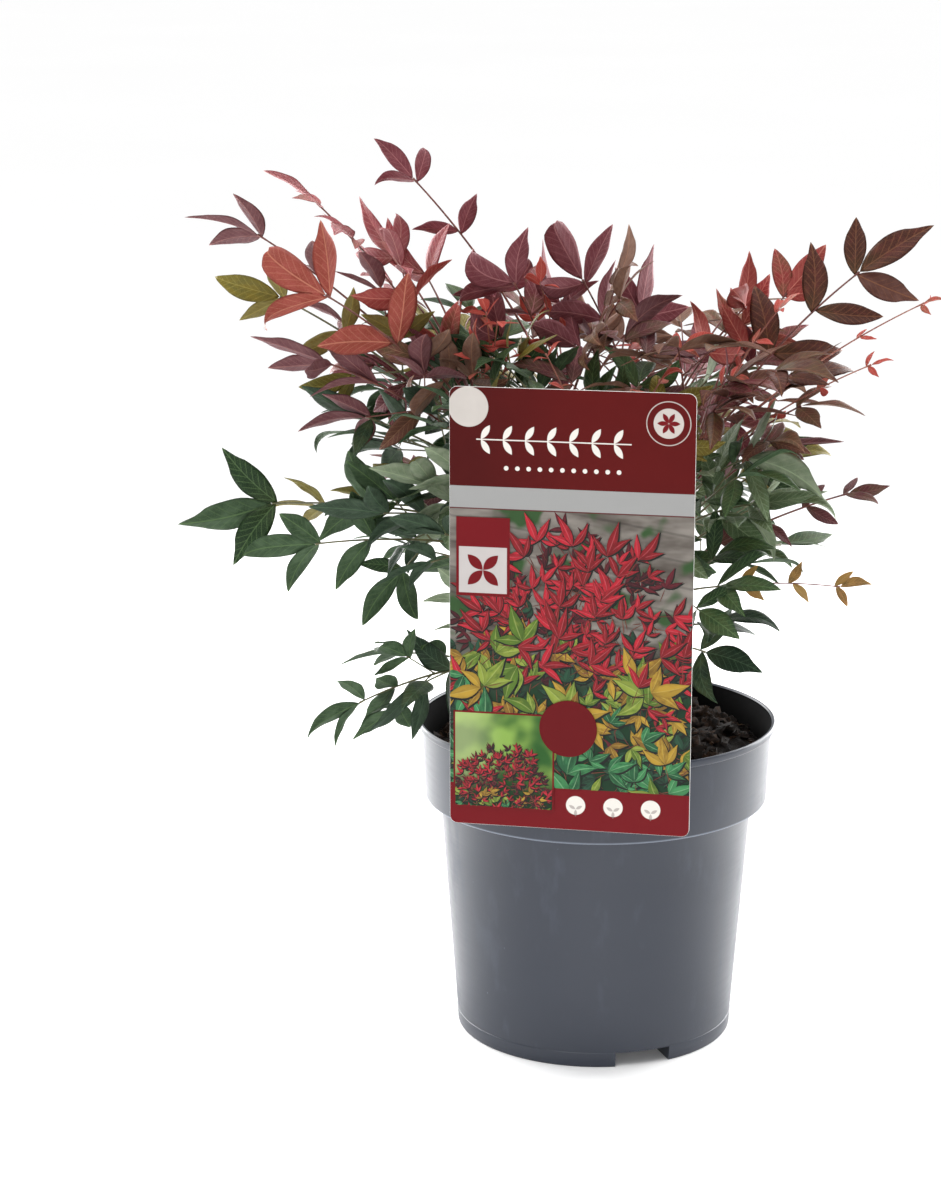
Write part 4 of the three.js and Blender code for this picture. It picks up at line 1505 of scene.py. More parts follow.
def back_sprays():
    """The sprays at the crown's back, from low to high, on the cane behind each."""
    rows = []
    for i in range(BACK_COUNT):
        share = (i + 0.5) / BACK_COUNT
        turn = 90 + (95 + 60 * share) * ((i * 0.618) % 1 - 0.5)
        rise = 4 + 52 * share
        cane = "cane_middle"
        if turn > 115:
            cane = "cane_back_left"
        if turn < 75:
            cane = "cane_back_right"
        joints = "33" if i % 2 else "31"
        grip = 0.42 + 0.54 * share
        rows.append((f"back_{i + 1}", cane, grip, turn, rise, 118 - 0.6 * rise, 20, joints, 36,
                     BACK_TONES[i % len(BACK_TONES)]))
    return rows


rows = SPRAYS + back_sprays()
print(len(rows), "sprays in the plain model")

# %% [markdown]
# The plain model stops at the sprays that give the crown its outline. The finer growth between them
# follows the same rule: filling sprays close the crown's thin places, short inner sprays stand round
# every cane, a golden angle apart, and tiny coral shoots break from the canes' tops. They take their
# turn last, so they only grow where there is room left.

# %% Finer growth
INNER_ON_CANE = {"cane_left": 6, "cane_right": 4, "cane_middle": 5, "cane_back_left": 4,
                 "cane_back_right": 4, "cane_front": 4, "cane_low_left": 2, "cane_low_right": 1}
GOLDEN = 137.5
LOW_TONES = ("green", "grey", "dark", "grey")
HIGH_TONES = ("green", "bronze", "grey", "burgundy", "green", "grey", "olive")
FILLING_SPRAYS = [
    ("fill_1", "cane_left", 0.9, 150, 48, 72, 45, "31", 34, "green"),
    ("fill_2", "cane_left", 0.85, 215, 52, 78, 50, "31", 34, "bronze"),
    ("fill_3", "cane_left", 0.8, 240, 42, 66, 45, "3", 34, "green"),
    ("fill_4", "cane_middle", 0.9, 200, 32, 95, 45, "31", 34, "green"),
    ("fill_5", "cane_back_left", 0.95, 200, 42, 85, 45, "33", 34, "green"),
    ("fill_6", "cane_left", 0.75, 190, 30, 88, 50, "31", 36, "dark"),
    ("fill_7", "cane_middle", 0.85, 230, 40, 74, 45, "31", 34, "green"),
    ("fill_8", "cane_right", 0.85, 20, 40, 70, 55, "", 38, "brown"),
    ("fill_9", "cane_right", 0.75, 312, 34, 60, 60, "1", 40, "grey"),
    ("fill_10", "cane_back_right", 0.9, 340, 45, 80, 50, "31", 36, "burgundy"),
    ("fill_11", "cane_middle", 0.97, 300, 50, 80, 45, "33", 34, "bronze"),
    ("fill_12", "cane_front", 0.9, 60, 60, 70, 45, "31", 34, "green"),
    ("fill_13", "cane_left", 0.95, 195, 62, 84, 60, "1", 36, "red"),
    ("fill_14", "cane_left", 0.88, 172, 36, 80, 45, "31", 34, "burgundy"),
    ("fill_15", "cane_left", 0.62, 208, 14, 84, 60, "31", 38, "dark"),
    ("fill_16", "cane_low_left", 0.98, 212, -10, 46, 75, "1", 40, "dark"),
    ("fill_17", "cane_back_right", 0.97, 330, 56, 92, 70, "1", 36, "red"),
    ("fill_18", "cane_left", 0.98, 152, 66, 84, 75, "", 38, "rose"),
    ("fill_19", "cane_left", 0.96, 160, 60, 104, 70, "", 36, "rose"),
    ("fill_20", "cane_left", 0.7, 222, 20, 62, 60, "1", 40, "grey"),
    ("fill_21", "cane_right", 0.66, 322, 24, 56, 70, "1", 40, "grey"),
]
print(len(FILLING_SPRAYS), "filling sprays")

# %% Young shoots
YOUNG_SHOOTS = [
    # cane, grip, turn, rise, reach, joints
    ("cane_left", 0.99, 265, 62, 52, "1"),
    ("cane_left", 0.95, 300, 70, 44, "1"),
    ("cane_middle", 0.99, 215, 70, 48, "1"),
    ("cane_front", 0.99, 300, 66, 62, "31"),
    ("cane_front", 0.98, 205, 58, 56, "1"),
    ("cane_right", 0.99, 300, 58, 56, "1"),
    ("cane_back_right", 0.99, 250, 64, 58, "1"),
    ("cane_right", 0.96, 340, 62, 84, "11"),
    ("cane_back_left", 0.99, 250, 66, 52, "1"),
    ("cane_left", 0.98, 280, 58, 70, "31"),
    ("cane_left", 0.9, 262, 66, 84, "31"),
    ("cane_middle", 0.97, 250, 62, 78, "31"),
    ("cane_front", 0.97, 150, 66, 76, "31"),
    ("cane_front", 0.95, 20, 62, 88, "31"),
]
print(len(YOUNG_SHOOTS), "young shoots")


# %% Inner sprays
def inner_sprays():
    """Short sprays that stand round the canes, a golden angle apart."""
    found = []
    step = 0
    for cane, count in INNER_ON_CANE.items():
        for i in range(count):
            step += 1
            share = (i + 0.5) / count
            low = cane.startswith("cane_low")
            tones = LOW_TONES if low or share < 0.45 else HIGH_TONES
            turn = CANES[cane][0] + GOLDEN * step
            reach = 74 - 22 * share
            joints = "1" if step % 3 else "3"
            found.append((f"inner_{step}", cane, 0.42 + 0.54 * share, turn, 14 + 50 * share, reach,
                          55, joints, 36 - 5 * share, tones[step % len(tones)]))
    return found


def young_shoots():
    return [(f"shoot_{i}", cane, grip, turn, rise, reach, 30 * (i % 3), joints, 14.5, "young")
            for i, (cane, grip, turn, rise, reach, joints) in enumerate(YOUNG_SHOOTS)]


plain_count = len(rows)
rows += FILLING_SPRAYS + inner_sprays() + young_shoots()
print(len(rows), "sprays in all")

# %% Growth rules
STALK_ROOT = 0.95
STALK_BOW = 0.045
STAND_OFF = 0.45
LEAF_WIDTH = 0.38
LEAF_LEVEL = 0.75
LEAF_DROOP = 0.25
LEAF_SAMPLES = [(0.12, 0), (0.34, 0), (0.56, 0), (0.78, 0), (0.98, 0)]
LEAF_SAMPLES += [(0.42, 0.36), (0.42, -0.36), (0.64, 0.3), (0.64, -0.3)]


def rachis_curve(cane, grip, turn, rise, reach):
    """A spray's main stalk: it starts at the cane's bark and bows upwards."""
    curve = cane_lines[cane]
    root_radius, tip_radius = CANES[cane][4:]
    way, lift = heading(turn, rise), heading(turn, rise + 90)
    start = unit(way * 0.5 + lift * 2 * STALK_BOW)
    along = curve.way(grip)
    out = heading(turn, 0)
    out = unit(out - along * (out @ along))
    bark = root_radius + (tip_radius - root_radius) * grip
    lean = math.sqrt(max(0.0, 1 - (start @ out) ** 2))
    root = curve.at(grip) + out * (bark + STAND_OFF + STALK_ROOT * lean)
    tip = root + way * reach
    return Bow(root, (root + tip) / 2 + lift * 2 * STALK_BOW * reach, tip)


print("LEAF_SAMPLES:", len(LEAF_SAMPLES), "points stand for a leaflet")


# %% Room to grow
NEARBY = 10.0  # how far round a leaflet others count, in mm
OWN_ROOM = 2.2  # a spray's own leaflets may be this many times nearer


class Placed:
    """Points of all that has grown, so that new leaflets can look for room."""

    def __init__(self):
        self.points = np.zeros((0, 3))
        self.owners = np.zeros(0, int)
        self.limbs = np.zeros(0, bool)

    def settle(self, owner, points, is_limb):
        self.points = np.vstack([self.points, points])
        self.owners = np.append(self.owners, [owner] * len(points))
        self.limbs = np.append(self.limbs, [is_limb] * len(points))

    def room(self, points, owner):
        own = self.owners == owner
        middle = points.mean(axis=0)
        reach = np.linalg.norm(points - middle, axis=1).max() + NEARBY
        near = np.linalg.norm(self.points - middle, axis=1) < reach
        keep = near & ~(own & self.limbs)
        if not keep.any():
            return NEARBY
        apart = np.linalg.norm(self.points[keep][:, None] - points[None], axis=2).min(axis=1)
        return (apart * np.where(own[keep], OWN_ROOM, 1.0)).min()


placed = Placed()
for index, curve in enumerate(cane_lines.values()):
    placed.settle(-1 - index, curve.line(30), True)
print(len(placed.points), "points on the canes")

# %% Clear of the card and the soil
CARD_CLEARANCE = 0.8  # from the card's middle plane
SOIL_CLEARANCE = 1
SOIL_REACH = 92  # farther out, leaflets may hang past the rim


def in_card_frame(points):
    """Places across the card, through it and up it, from the middle of its foot."""
    a = math.radians(-(CARD_TURN + 90))
    x = points[..., 0] * math.cos(a) - points[..., 1] * math.sin(a)
    y = points[..., 0] * math.sin(a) + points[..., 1] * math.cos(a)
    return x - CARD_SHIFT, y, points[..., 2] - CARD_FOOT


def hits_card(points):
    """Whether points run through the card or before it, or into the soil."""
    x, y, up = in_card_frame(points)
    beside = (abs(x) < CARD_WIDTH / 2 + 1) & (up > 0) & (up < CARD_HEIGHT)
    if (beside & (y < (CARD_BACK + CARD_FRONT) / 2 + CARD_CLEARANCE)).any():
        return True
    radius = np.hypot(points[:, 0], points[:, 1])
    return bool(((points[:, 2] < SOIL_TOP + SOIL_CLEARANCE) & (radius < SOIL_REACH)).any())


print("a cane's tip hits the card:", hits_card(np.array([cane_lines["cane_front"].tip])))


# %% A leaflet's place
class Leaflet:
    """Where a leaflet stands, how it lies and how large it is."""

    def __init__(self, foot, way, across, length, width):
        self.foot, self.way, self.across = foot, way, across
        self.length, self.width = length, width

    def points(self):
        runs = [self.foot + self.way * self.length * run + self.across * self.width * side
                for run, side in LEAF_SAMPLES]
        return np.array(runs)


TRIES = 7
ENOUGH_ROOM = 4.5
LEAST_ROOM = 2.2


def roomy_leaflet(foot, along, normal, size, owner, number):
    """Draws headings, ever more freely, until one has enough room. Else the roomiest will do,
    unless that is too tight as well."""
    best, best_room = None, -1.0
    for attempt in range(TRIES):
        draw = seeded((owner + 1) * 1000 + number * 10 + attempt)
        loose = 16 + 9 * attempt
        nod = turned(along, square(along, normal), wobble(draw, loose))
        way = unit(turned(nod, normal, wobble(draw, loose * 0.6)))
        across = unit(turned(square(way, normal), way, wobble(draw, loose * 1.3)))
        new = Leaflet(foot, way, across, size, size * (LEAF_WIDTH + wobble(draw, 0.04)))
        points = new.points()
        room = 0.0 if hits_card(points) else placed.room(points, owner)
        if room > best_room:
            best, best_room = new, room
        if room > ENOUGH_ROOM:
            break
    return best if best_room >= LEAST_ROOM else None


print("a leaflet draws up to", TRIES, "places")


# %% Growing one spray
class Spray:
    """A compound leaf: its rachis, its side stalks and its leaflets."""

    def __init__(self, owner, row, rachis):
        self.owner, self.row, self.rachis = owner, row, rachis
        self.tone = row[9]
        self.stalks, self.leaflets = [], []
        self.count = 0

    def leaflet(self, foot, along, normal, size):
        self.count += 1
        along = unit(along - UP * (along[2] * self.level + LEAF_DROOP * self.level))
        normal = normal * (1 - self.level) + UP * self.level
        normal = unit(normal - along * (normal @ along))
        found = roomy_leaflet(foot, along, normal, size, self.owner, self.count)
        if found is not None:
            placed.settle(self.owner, found.points(), False)
            self.leaflets.append(found)

    def trio(self, end, along, normal, size, draw):
        self.leaflet(end, along, normal, size * between((0.95, 1.1), draw))
        for sign in (-1, 1):
            foot = end - along * (3 if sign < 0 else 2)
            way = turned(along, normal, -sign * (52 + wobble(draw, 10)))
            self.leaflet(foot, way, normal, size * between((0.74, 0.9), draw))

    def stalk_with_trio(self, foot, way, normal, length, draw):
        end = foot + way * length
        middle = (foot + end) / 2
        line = [foot + (end - foot) * i / 4 for i in range(1, 5)]
        placed.settle(self.owner, line, True)
        self.stalks.append(Bow(foot, middle, end))
        self.trio(end, way, square(square(way, normal), way), self.row[8] * 0.86, draw)

    def grow(self):
        seed = self.owner + 1
        roll, joints, leaf = self.row[6:9]
        plane_roll = roll + wobble(seeded(seed), 10)
        self.level = LEAF_LEVEL * max(0.0, 1 - abs(roll) / 80)

        def frame_at(t):
            along = self.rachis.way(t)
            side = turned(square(along, UP), along, plane_roll)
            return along, square(side, along)

        spread = 0.24 + 0.14 * len(joints)
        for step, kind in enumerate(joints):
            t = 1 - spread * (len(joints) - step) / len(joints)
            along, normal = frame_at(t)
            for sign in (-1, 1):
                draw = seeded(seed * 100 + step * 10 + sign)
                foot = self.rachis.at(t) + along * sign
                way = turned(along, normal, -sign * (50 + wobble(draw, 12)))
                way = unit(way + normal * wobble(draw, 0.2))
                length = leaf * (1 - 0.15 * step) * between((0.61, 0.83), draw)
                if kind == "3":
                    self.stalk_with_trio(foot, way, normal, length, draw)
                else:
                    self.leaflet(foot, way, normal, leaf * between((0.8, 0.95), draw))
        along, normal = frame_at(1)
        self.trio(self.rachis.tip, along, normal, leaf, seeded(seed * 100 + 99))


print("sprays can grow")

# %% Growing them all
sprays = [Spray(index, row, rachis_curve(*row[1:6])) for index, row in enumerate(rows)]
for group in (sprays[:plain_count], sprays[plain_count:]):
    for spray in group:
        placed.settle(spray.owner, spray.rachis.line(20)[1:], True)
    for spray in group:
        spray.grow()
print(sum(len(s.leaflets) for s in sprays), "leaflets on", len(sprays), "sprays")

# %% [markdown]
# ## Canes
#
# The canes are woody, upright and rough: grey-brown bark splits into long ridges, and the bases of
# old leaves leave a ring at every joint. A bump alone would leave the outline smooth, so the points
# of a dense tube are moved out and in by noise, and that gives both. The ridges run along the cane,
# so the noise that makes them is stretched that way.

# %% Cane sizes
CANE_SIDES = 28
CANE_RINGS = 150
CANE_FLARE = 0.3
JOINT_STEP = 17.0
JOINT_SWELL = 0.32
RIDGE = 0.22


def bark_relief(seed, turn, height):
    """How far the bark stands out at a turn and a height, in mm."""
    ring = Vector((math.cos(turn) * 1.4, math.sin(turn) * 1.4, height * 0.055 + seed * 9))
    ridges = noise.fractal(ring * 1.6, 0.7, 2.2, 4)
    flakes = noise.noise(Vector((ring.x * 3, ring.y * 3, height * 0.35 + seed)))
    return RIDGE * (ridges + 0.4 * flakes)


def joint_swell(seed, height):
    """A ring of old leaf bases at every joint, steep above and sloping below."""
    place = (height + seed * 5.3) / JOINT_STEP % 1
    slope = 0.5 * max(0, place - 0.2) * (place < 0.5)
    return JOINT_SWELL * (math.exp(-((place - 0.5) / 0.06) ** 2) + slope)


print("bark relief:", round(bark_relief(1, 0.5, 40), 3), "mm")


# %% Bark
def cane_mesh(name, seed):
    """A dense tube whose points stand out by the bark's relief."""
    curve = cane_lines[name]
    root_radius, tip_radius = CANES[name][4:]
    line = np.array(curve.line(CANE_RINGS))
    length = np.linalg.norm(np.diff(line, axis=0), axis=1).sum()
    shares = np.linspace(0, 1, CANE_RINGS + 1)
    radii = root_radius + (tip_radius - root_radius) * shares
    radii *= 1 + CANE_FLARE * np.exp(-shares * 28)
    points, faces = tube(line, np.ones(len(line)), CANE_SIDES)
    moved = []
    for i, point in enumerate(points):
        ring, side = divmod(i, CANE_SIDES)
        turn = 2 * math.pi * side / CANE_SIDES
        height = shares[ring] * length
        reach = radii[ring] + bark_relief(seed, turn, height) + joint_swell(seed, height)
        moved.append(line[ring] + (point - line[ring]) * reach)
    return moved, faces


def cane_bark():
    made = new_finish("cane_bark", Specular_IOR_Level=0.3)
    at = place_on_piece((1, 1, 0.18))
    fibres = cloudy(at, 700, 6, 0.7)
    patches = cloudy(place_on_piece((1, 1, 0.5)), 90, 4)
    tone = fibres.rising(0.3, 0.7).mixed(colour(0x3A2A20), colour(0x7A6150))
    tone = patches.rising(0.45, 0.7).mixed(tone, colour(0x6E4438))
    feed(made, "Base Color", tone)
    feed(made, "Roughness", 0.65 + fibres * 0.25)
    feed(made, "Normal", bumped(fibres, 0.7, 0.4))
    return made


bark = cane_bark()
for seed, name in enumerate(CANES):
    finished(link_mesh(name + "_bark", *cane_mesh(name, seed)), bark, [name])

# %% [markdown]
# ## Leaflets
#
# A leaflet is a thin lance-shaped blade: it folds a little along its midrib, arches over towards its
# tip and waves along its edges. It narrows to a drip tip, but half of the shorter ones are blunter,
# and one in four curls down at its end. It could be a card with a leaf's picture, but this one is a
# real sheet with a top and an underside that share their rim. Its length and heading come from the
# growth rule, and each leaflet draws its own fold, arch and twist. Where its waves would take it
# through the card, it lies flat against the card's back instead.

# %% The blade
LEAF_RUNS = 15
LEAF_SPANS = 8
LEAF_THICK = 0.22
LEAF_OFF_CARD = 0.5
WIDEST = 0.8
BLADE_U = np.linspace(0, 1, LEAF_RUNS + 1) ** 0.92
BLADE_S = np.linspace(-1, 1, LEAF_SPANS + 1)


def half_width(u):
    """The blade's outline, as a share of its greatest half width."""
    outline = np.sin(np.pi * u**WIDEST) ** 1.12
    tip = np.clip((u - 0.68) / 0.32, 0, 1)
    return np.clip(outline * (1 - 0.38 * np.sin(np.pi * tip) ** 1.2), 0, None)


BLUNT_W = np.sin(np.pi * BLADE_U**0.95) ** 0.82
BLADE_W = 0.62 * half_width(BLADE_U) + 0.38 * BLUNT_W
BLUNT_SHARE = 0.5
LONG_LEAF = 38
CURLED_SHARE = 0.25
print("widest at", round(float(BLADE_U[BLADE_W.argmax()]), 2), "of the length")


# %% Blades at the card
def laid_behind_card(grid):
    """A blade that reaches the card lies flat against its back."""
    x, y, up = in_card_frame(grid)
    beside = (abs(x) < CARD_WIDTH / 2 + 1) & (up > -1) & (up < CARD_HEIGHT + 1)
    past = np.clip(CARD_BACK + LEAF_OFF_CARD - y, 0, None) * beside
    return grid + past[..., None] * heading(CARD_TURN + 180, 0)


print("a blade stays", LEAF_OFF_CARD, "mm off the card's back")


# %% One leaflet's mesh
def leaf_grid(leaf, rng):
    """The blade's top sheet as a grid of points, from its foot to its tip."""
    fold = math.radians(rng.uniform(6, 28))
    arch = math.radians(rng.uniform(4, 52))
    curl = math.radians(rng.uniform(20, 70)) * (rng.uniform() < CURLED_SHARE)
    twist = math.radians(rng.normal(0, 12))
    wave = rng.uniform(0.003, 0.013) * leaf.length
    beats, phase = rng.uniform(1.6, 2.8), rng.uniform(0, 6.28, 2)
    sway = rng.normal(0, 0.05)
    across, up = leaf.across, square(leaf.across, leaf.way)
    if up @ (UP * 0.8 + heading(math.degrees(math.atan2(leaf.foot[1], leaf.foot[0])), 0) * 0.6) < 0:
        across, up = -across, -up
    blunt = rng.uniform(0.3, 0.9) * (rng.uniform() < BLUNT_SHARE) * (leaf.length < LONG_LEAF)
    slope = arch * (0.5 - BLADE_U) - curl * np.clip(BLADE_U - 0.6, 0, None) * 2.5
    steps = np.diff(BLADE_U, prepend=0)
    run = np.cumsum(np.cos(slope) * steps)
    rise = np.cumsum(np.sin(slope) * steps)
    rise = rise - run / run[-1] * rise[-1]
    run = run / run[-1]
    grid = np.zeros((len(BLADE_U), len(BLADE_S), 3))
    for i, u in enumerate(BLADE_U):
        turn = twist * (u - 0.4)
        side = across * math.cos(turn) + up * math.sin(turn)
        top = up * math.cos(turn) - across * math.sin(turn)
        middle = leaf.foot + leaf.way * leaf.length * run[i] + up * leaf.length * rise[i]
        middle = middle + across * leaf.length * sway * math.sin(math.pi * u)
        half = (BLADE_W[i] * (1 - blunt) + BLUNT_W[i] * blunt) * leaf.width / 2
        for j, s in enumerate(BLADE_S):
            flat = s * half * math.cos(fold)
            ripple = wave * math.sin(2 * math.pi * beats * u + phase[int(s > 0)]) * s * s * BLADE_W[i]
            lift = abs(s) * half * math.sin(fold) - (abs(s) ** 3) * half * 0.12 + ripple
            grid[i, j] = middle + side * flat + top * lift
    return laid_behind_card(grid), up


def sheet_faces():
    """Faces of the top sheet and of the underside, which share the rim."""
    rows, columns = len(BLADE_U), len(BLADE_S)
    under = {}
    count = rows * columns
    for i in range(rows):
        for j in range(columns):
            rim = i in (0, rows - 1) or j in (0, columns - 1)
            under[i, j] = i * columns + j if rim else count
            count += not rim
    top_faces, under_faces = [], []
    for i in range(rows - 1):
        for j in range(columns - 1):
            a, b = i * columns + j, (i + 1) * columns + j
            top_faces.append((a, a + 1, b + 1, b))
            under_faces.append((under[i, j], under[i + 1, j], under[i + 1, j + 1], under[i, j + 1]))
    return top_faces, under_faces, under


TOP_FACES, UNDER_FACES, UNDER = sheet_faces()
INNER = [place for place, index in UNDER.items() if index >= len(BLADE_U) * len(BLADE_S)]
print(len(TOP_FACES) + len(UNDER_FACES), "faces on a leaflet")

# %% Leaflets of one tone as one piece
LOOKS = 4
BLADE_START, BLADE_RUN, BLADE_HALF = 0.04, 0.92, 0.46  # where a blade lies in its cell of the atlas
PLACE_ON_BLADE = {i * len(BLADE_S) + j: (u, s * BLADE_W[i])
                  for i, u in enumerate(BLADE_U) for j, s in enumerate(BLADE_S)}
PLACE_ON_BLADE.update({UNDER[i, j]: (BLADE_U[i], BLADE_S[j] * BLADE_W[i]) for i, j in INNER})


def blade_uv(index, side, look):
    """Where a point lies in the atlas: tops left, undersides right, one row to a look."""
    u, v = PLACE_ON_BLADE[index]
    return ((u * BLADE_RUN + BLADE_START + side) / 2, (look + 0.5 + BLADE_HALF * v) / LOOKS)


BLADE_UVS = [
    [[blade_uv(v, side, look) for face in faces for v in face]
     for side, faces in enumerate((TOP_FACES, UNDER_FACES))]
    for look in range(LOOKS)
]


def leaves_piece(name, leaflets, rng):
    heap = Heap()
    uvs = []
    for leaf in leaflets:
        grid, up = leaf_grid(leaf, rng)
        inner = [grid[i, j] - up * LEAF_THICK for i, j in INNER]
        heap.add(np.vstack([grid.reshape(-1, 3), inner]), TOP_FACES + UNDER_FACES)
        look = rng.integers(LOOKS)
        uvs += BLADE_UVS[look][0] + BLADE_UVS[look][1]
    piece = heap.piece(name)
    layer = piece.data.uv_layers.new(name="OFBake")
    layer.data.foreach_set("uv", np.array(uvs, float).ravel())
    return piece


print(len(BLADE_UVS[0][0]), "corners on a top sheet")

# %% [markdown]
# ### Their finish
#
# Young leaflets come out coral, ripen to green and turn plum, burgundy and bronze in the cold, and
# every spray is at its own stage. A tone has two base colours that each leaflet mixes in its own
# measure, a pale rib, and an underside that is greyer and more matt. The veins are sums on the
# place along and across the blade: they leave the rib at a slant and curve forward, with a fine net
# between them. A scanned leaf would look the same on all of them, while sums give each its own look
# and stay sharp. The blade is waxy, so the top has a soft gloss.

# %% Tones: two colours, underside, rib
TONES = {
    "burgundy": (0x5A1E2A, 0x8A3A44, 0x80484F, 0xB4787A),
    "rose": (0x883640, 0xB4565C, 0x925458, 0xD09690),
    "coral": (0x742A20, 0xAE4C42, 0x9C4A42, 0xC8826A),
    "plum": (0x4A2028, 0x683238, 0x6C464A, 0x946460),
    "olive": (0x5E5220, 0x7E7028, 0x80784A, 0x9E924A),
    "green": (0x172B19, 0x294226, 0x4C6048, 0x5E784C),
    "dark": (0x152419, 0x213426, 0x445444, 0x4A6248),
    "bronze": (0x5C3A30, 0x6C3634, 0x84685A, 0x9C7258),
    "red": (0x7E2024, 0xA63E42, 0x984842, 0xC87A6C),
    "young": (0xAE3A34, 0xBE5048, 0xB44A44, 0xD08270),
    "amber": (0x9C7840, 0xA46C44, 0xAE905E, 0xBE9A5E),
    "grey": (0x4C6042, 0x647856, 0x8E9882, 0x96A684),
    "brown": (0x3E201C, 0x622E2E, 0x684842, 0x86583E),
}
print(len(TONES), "leaf tones")

# %% The leaves' finish
LEAF_FOOT = colour(0x434A2A)
VEINS = 9.0


def blade_place():
    """Along the blade, across it from -1 to 1, whether this is its underside, and its look."""
    at = Wire.node("UVMap", {"uv_map": "OFBake"})
    x, y = (Wire.node("SeparateXYZ", {}, {0: at}, output=i) for i in (0, 1))
    under = x > 0.5
    along = ((x * 2).fraction() - BLADE_START) / BLADE_RUN
    look = (y * LOOKS).floor()
    across = ((y * LOOKS).fraction() - 0.5) / BLADE_HALF
    return along, across, under, look


def leaf_finish(tone):
    first, second, below, rib = (colour(code) for code in TONES[tone])
    made = new_finish("leaf_" + tone, Specular_IOR_Level=0.16)
    along, across, under, look = blade_place()
    aside = abs(across)
    at = Wire.node("CombineXYZ", {}, {0: along * 3, 1: across, 2: look * 7})
    clouds = cloudy(at, 1.6, 4)
    mottle = cloudy(at, 9, 3)
    rib_line = 1 - aside.rising(0.015, 0.06)
    slant = (along * VEINS - aside * 2.6 + aside * aside * 0.7).fraction()
    vein = 1 - abs(slant - 0.5).rising(0.03, 0.13)
    vein = vein * (1 - aside.rising(0.6, 1.0))
    net = Wire.node("TexVoronoi", {"feature": "DISTANCE_TO_EDGE"}, {"Vector": at, "Scale": 17})
    net = 1 - net.rising(0.0, 0.13)
    face = (clouds + look * 0.12 - 0.2).rising(0.3, 0.75).mixed(first, second)
    face = (mottle.rising(0.5, 0.8) * 0.35).mixed(face, shaded(first, 0.72))
    face = (aside.rising(0.5, 1.0) * 0.3).mixed(face, shaded(first, 0.8))
    ripening = (look > LOOKS - 2.5) * clouds.rising(0.35, 0.65) * 0.6
    face = ripening.mixed(face, LEAF_FOOT)
    face = (along.rising(0.5, 0.0) * 0.3).mixed(face, LEAF_FOOT)
    face = ((vein * 0.8 + net * 0.8) * 0.44).mixed(face, shaded(rib, 0.95))
    face = (rib_line * 0.55).mixed(face, rib)
    back = (clouds.rising(0.25, 0.75) * 0.7).mixed(below, shaded(first, 1.15))
    back = ((vein * 0.8 + net * 0.8) * 0.32).mixed(back, shaded(rib, 0.95))
    back = (rib_line * 0.8).mixed(back, rib)
    feed(made, "Base Color", under.mixed(face, back))
    feed(made, "Roughness", 0.34 + under * 0.2 + mottle * 0.14)
    relief = clouds * 0.5 - vein * 0.6 - rib_line * 0.8 - net * 0.25
    feed(made, "Normal", bumped(relief, 0.35, 0.35))
    return made


print("veins to a side:", VEINS)

# %% All leaflets
leaf_rng = np.random.default_rng(11)
nodes_of_tone = {tone: [] for tone in TONES}
leaflets_of_tone = {tone: [] for tone in TONES}
for spray in sprays:
    if spray.owner < plain_count:
        nodes_of_tone[spray.tone].append("spray_" + spray.row[0])
    leaflets_of_tone[spray.tone] += spray.leaflets
for tone, leaflets in leaflets_of_tone.items():
    piece = leaves_piece("leaves_" + tone, leaflets, leaf_rng)
    finished(piece, leaf_finish(tone), nodes_of_tone[tone])

# %% [markdown]
# ## Stalks
#
# The stalks are wiry and smooth: red-brown under the red leaves, green under the green ones and coral
# under the young shoots. They bow under their leaflets and thicken a little at each joint. A tube
# along the growth rule's own curves gives the joints real thickness, which a hair or a ribbon
# wouldn't.

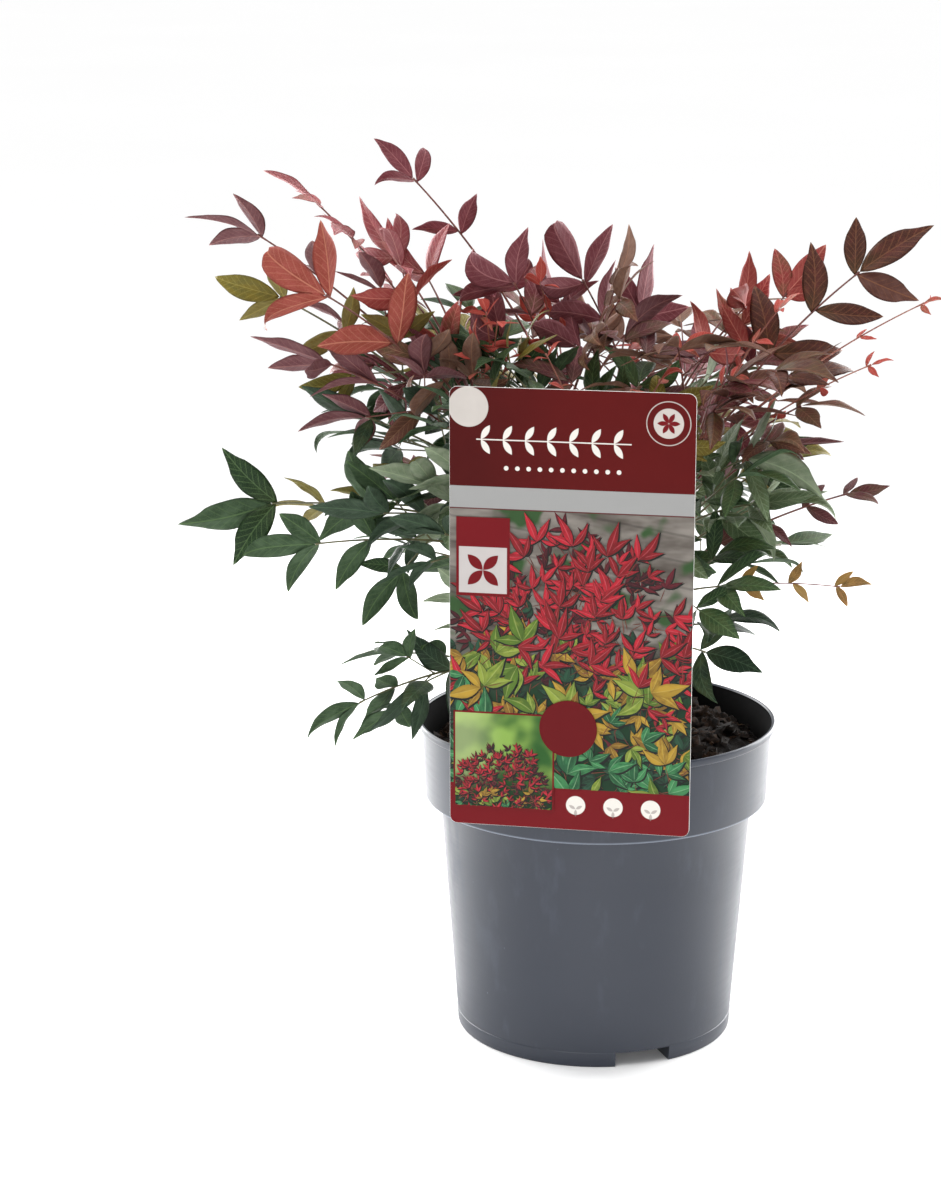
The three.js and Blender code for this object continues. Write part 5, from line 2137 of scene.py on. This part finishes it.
# %% Stalk families
STALKS = {
    "red": (0x5A2E2A, 0x7C463C),
    "green": (0x4E5034, 0x6E6A48),
    "coral": (0x84443A, 0xA06654),
}
FAMILY = {"green": "green", "dark": "green", "grey": "green", "olive": "green",
          "young": "coral"}
STALK_SIDES = 7
SMALL_LEAF = 20  # sprays with smaller leaflets have thinner stalks
THINNER = 0.72


def stalk_tube(curve, steps, root_radius, tip_radius, knob=0.35):
    """A stalk that swells at its root and at its tip."""
    shares = np.linspace(0, 1, steps + 1)
    length = np.linalg.norm(curve.tip - curve.root)
    ends = np.exp(-((shares * length) / 1.6) ** 2) + 0.7 * np.exp(-(((1 - shares) * length) / 1.6) ** 2)
    radii = root_radius + (tip_radius - root_radius) * shares + knob * ends
    return tube(curve.line(steps), radii, STALK_SIDES)


def stalk_finish(family):
    dark, light = (colour(code) for code in STALKS[family])
    made = new_finish("stalk_" + family, Specular_IOR_Level=0.45)
    streaks = cloudy(place_on_piece(), 160, 3)
    feed(made, "Base Color", streaks.rising(0.3, 0.7).mixed(dark, light))
    feed(made, "Roughness", 0.42 + streaks * 0.15)
    feed(made, "Normal", bumped(streaks, 0.2, 0.1))
    return made


print(len(STALKS), "kinds of stalk")

# %% All stalks
heaps = {family: Heap() for family in STALKS}
tones_of_family = {family: set() for family in STALKS}
for spray in sprays:
    family = FAMILY.get(spray.tone, "red")
    tones_of_family[family].add(spray.tone)
    heap = heaps[family]
    thin = THINNER if spray.row[8] < SMALL_LEAF else 1.0
    heap.add(*stalk_tube(spray.rachis, 26, 0.8 * thin, 0.45 * thin))
    for stalk in spray.stalks:
        heap.add(*stalk_tube(stalk, 8, 0.45 * thin, 0.36 * thin, 0.2))
for family, heap in heaps.items():
    nodes = [node for tone in sorted(tones_of_family[family]) for node in nodes_of_tone[tone]]
    finished(heap.piece("stalks_" + family), stalk_finish(family), nodes)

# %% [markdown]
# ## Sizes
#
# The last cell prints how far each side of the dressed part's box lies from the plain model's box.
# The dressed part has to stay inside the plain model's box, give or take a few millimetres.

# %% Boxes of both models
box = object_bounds()
for side, low, high in zip("xyz", box[0] - cad_box[0], box[1] - cad_box[1]):
    print(side, f"low {low / MM:+.1f} mm, high {high / MM:+.1f} mm")
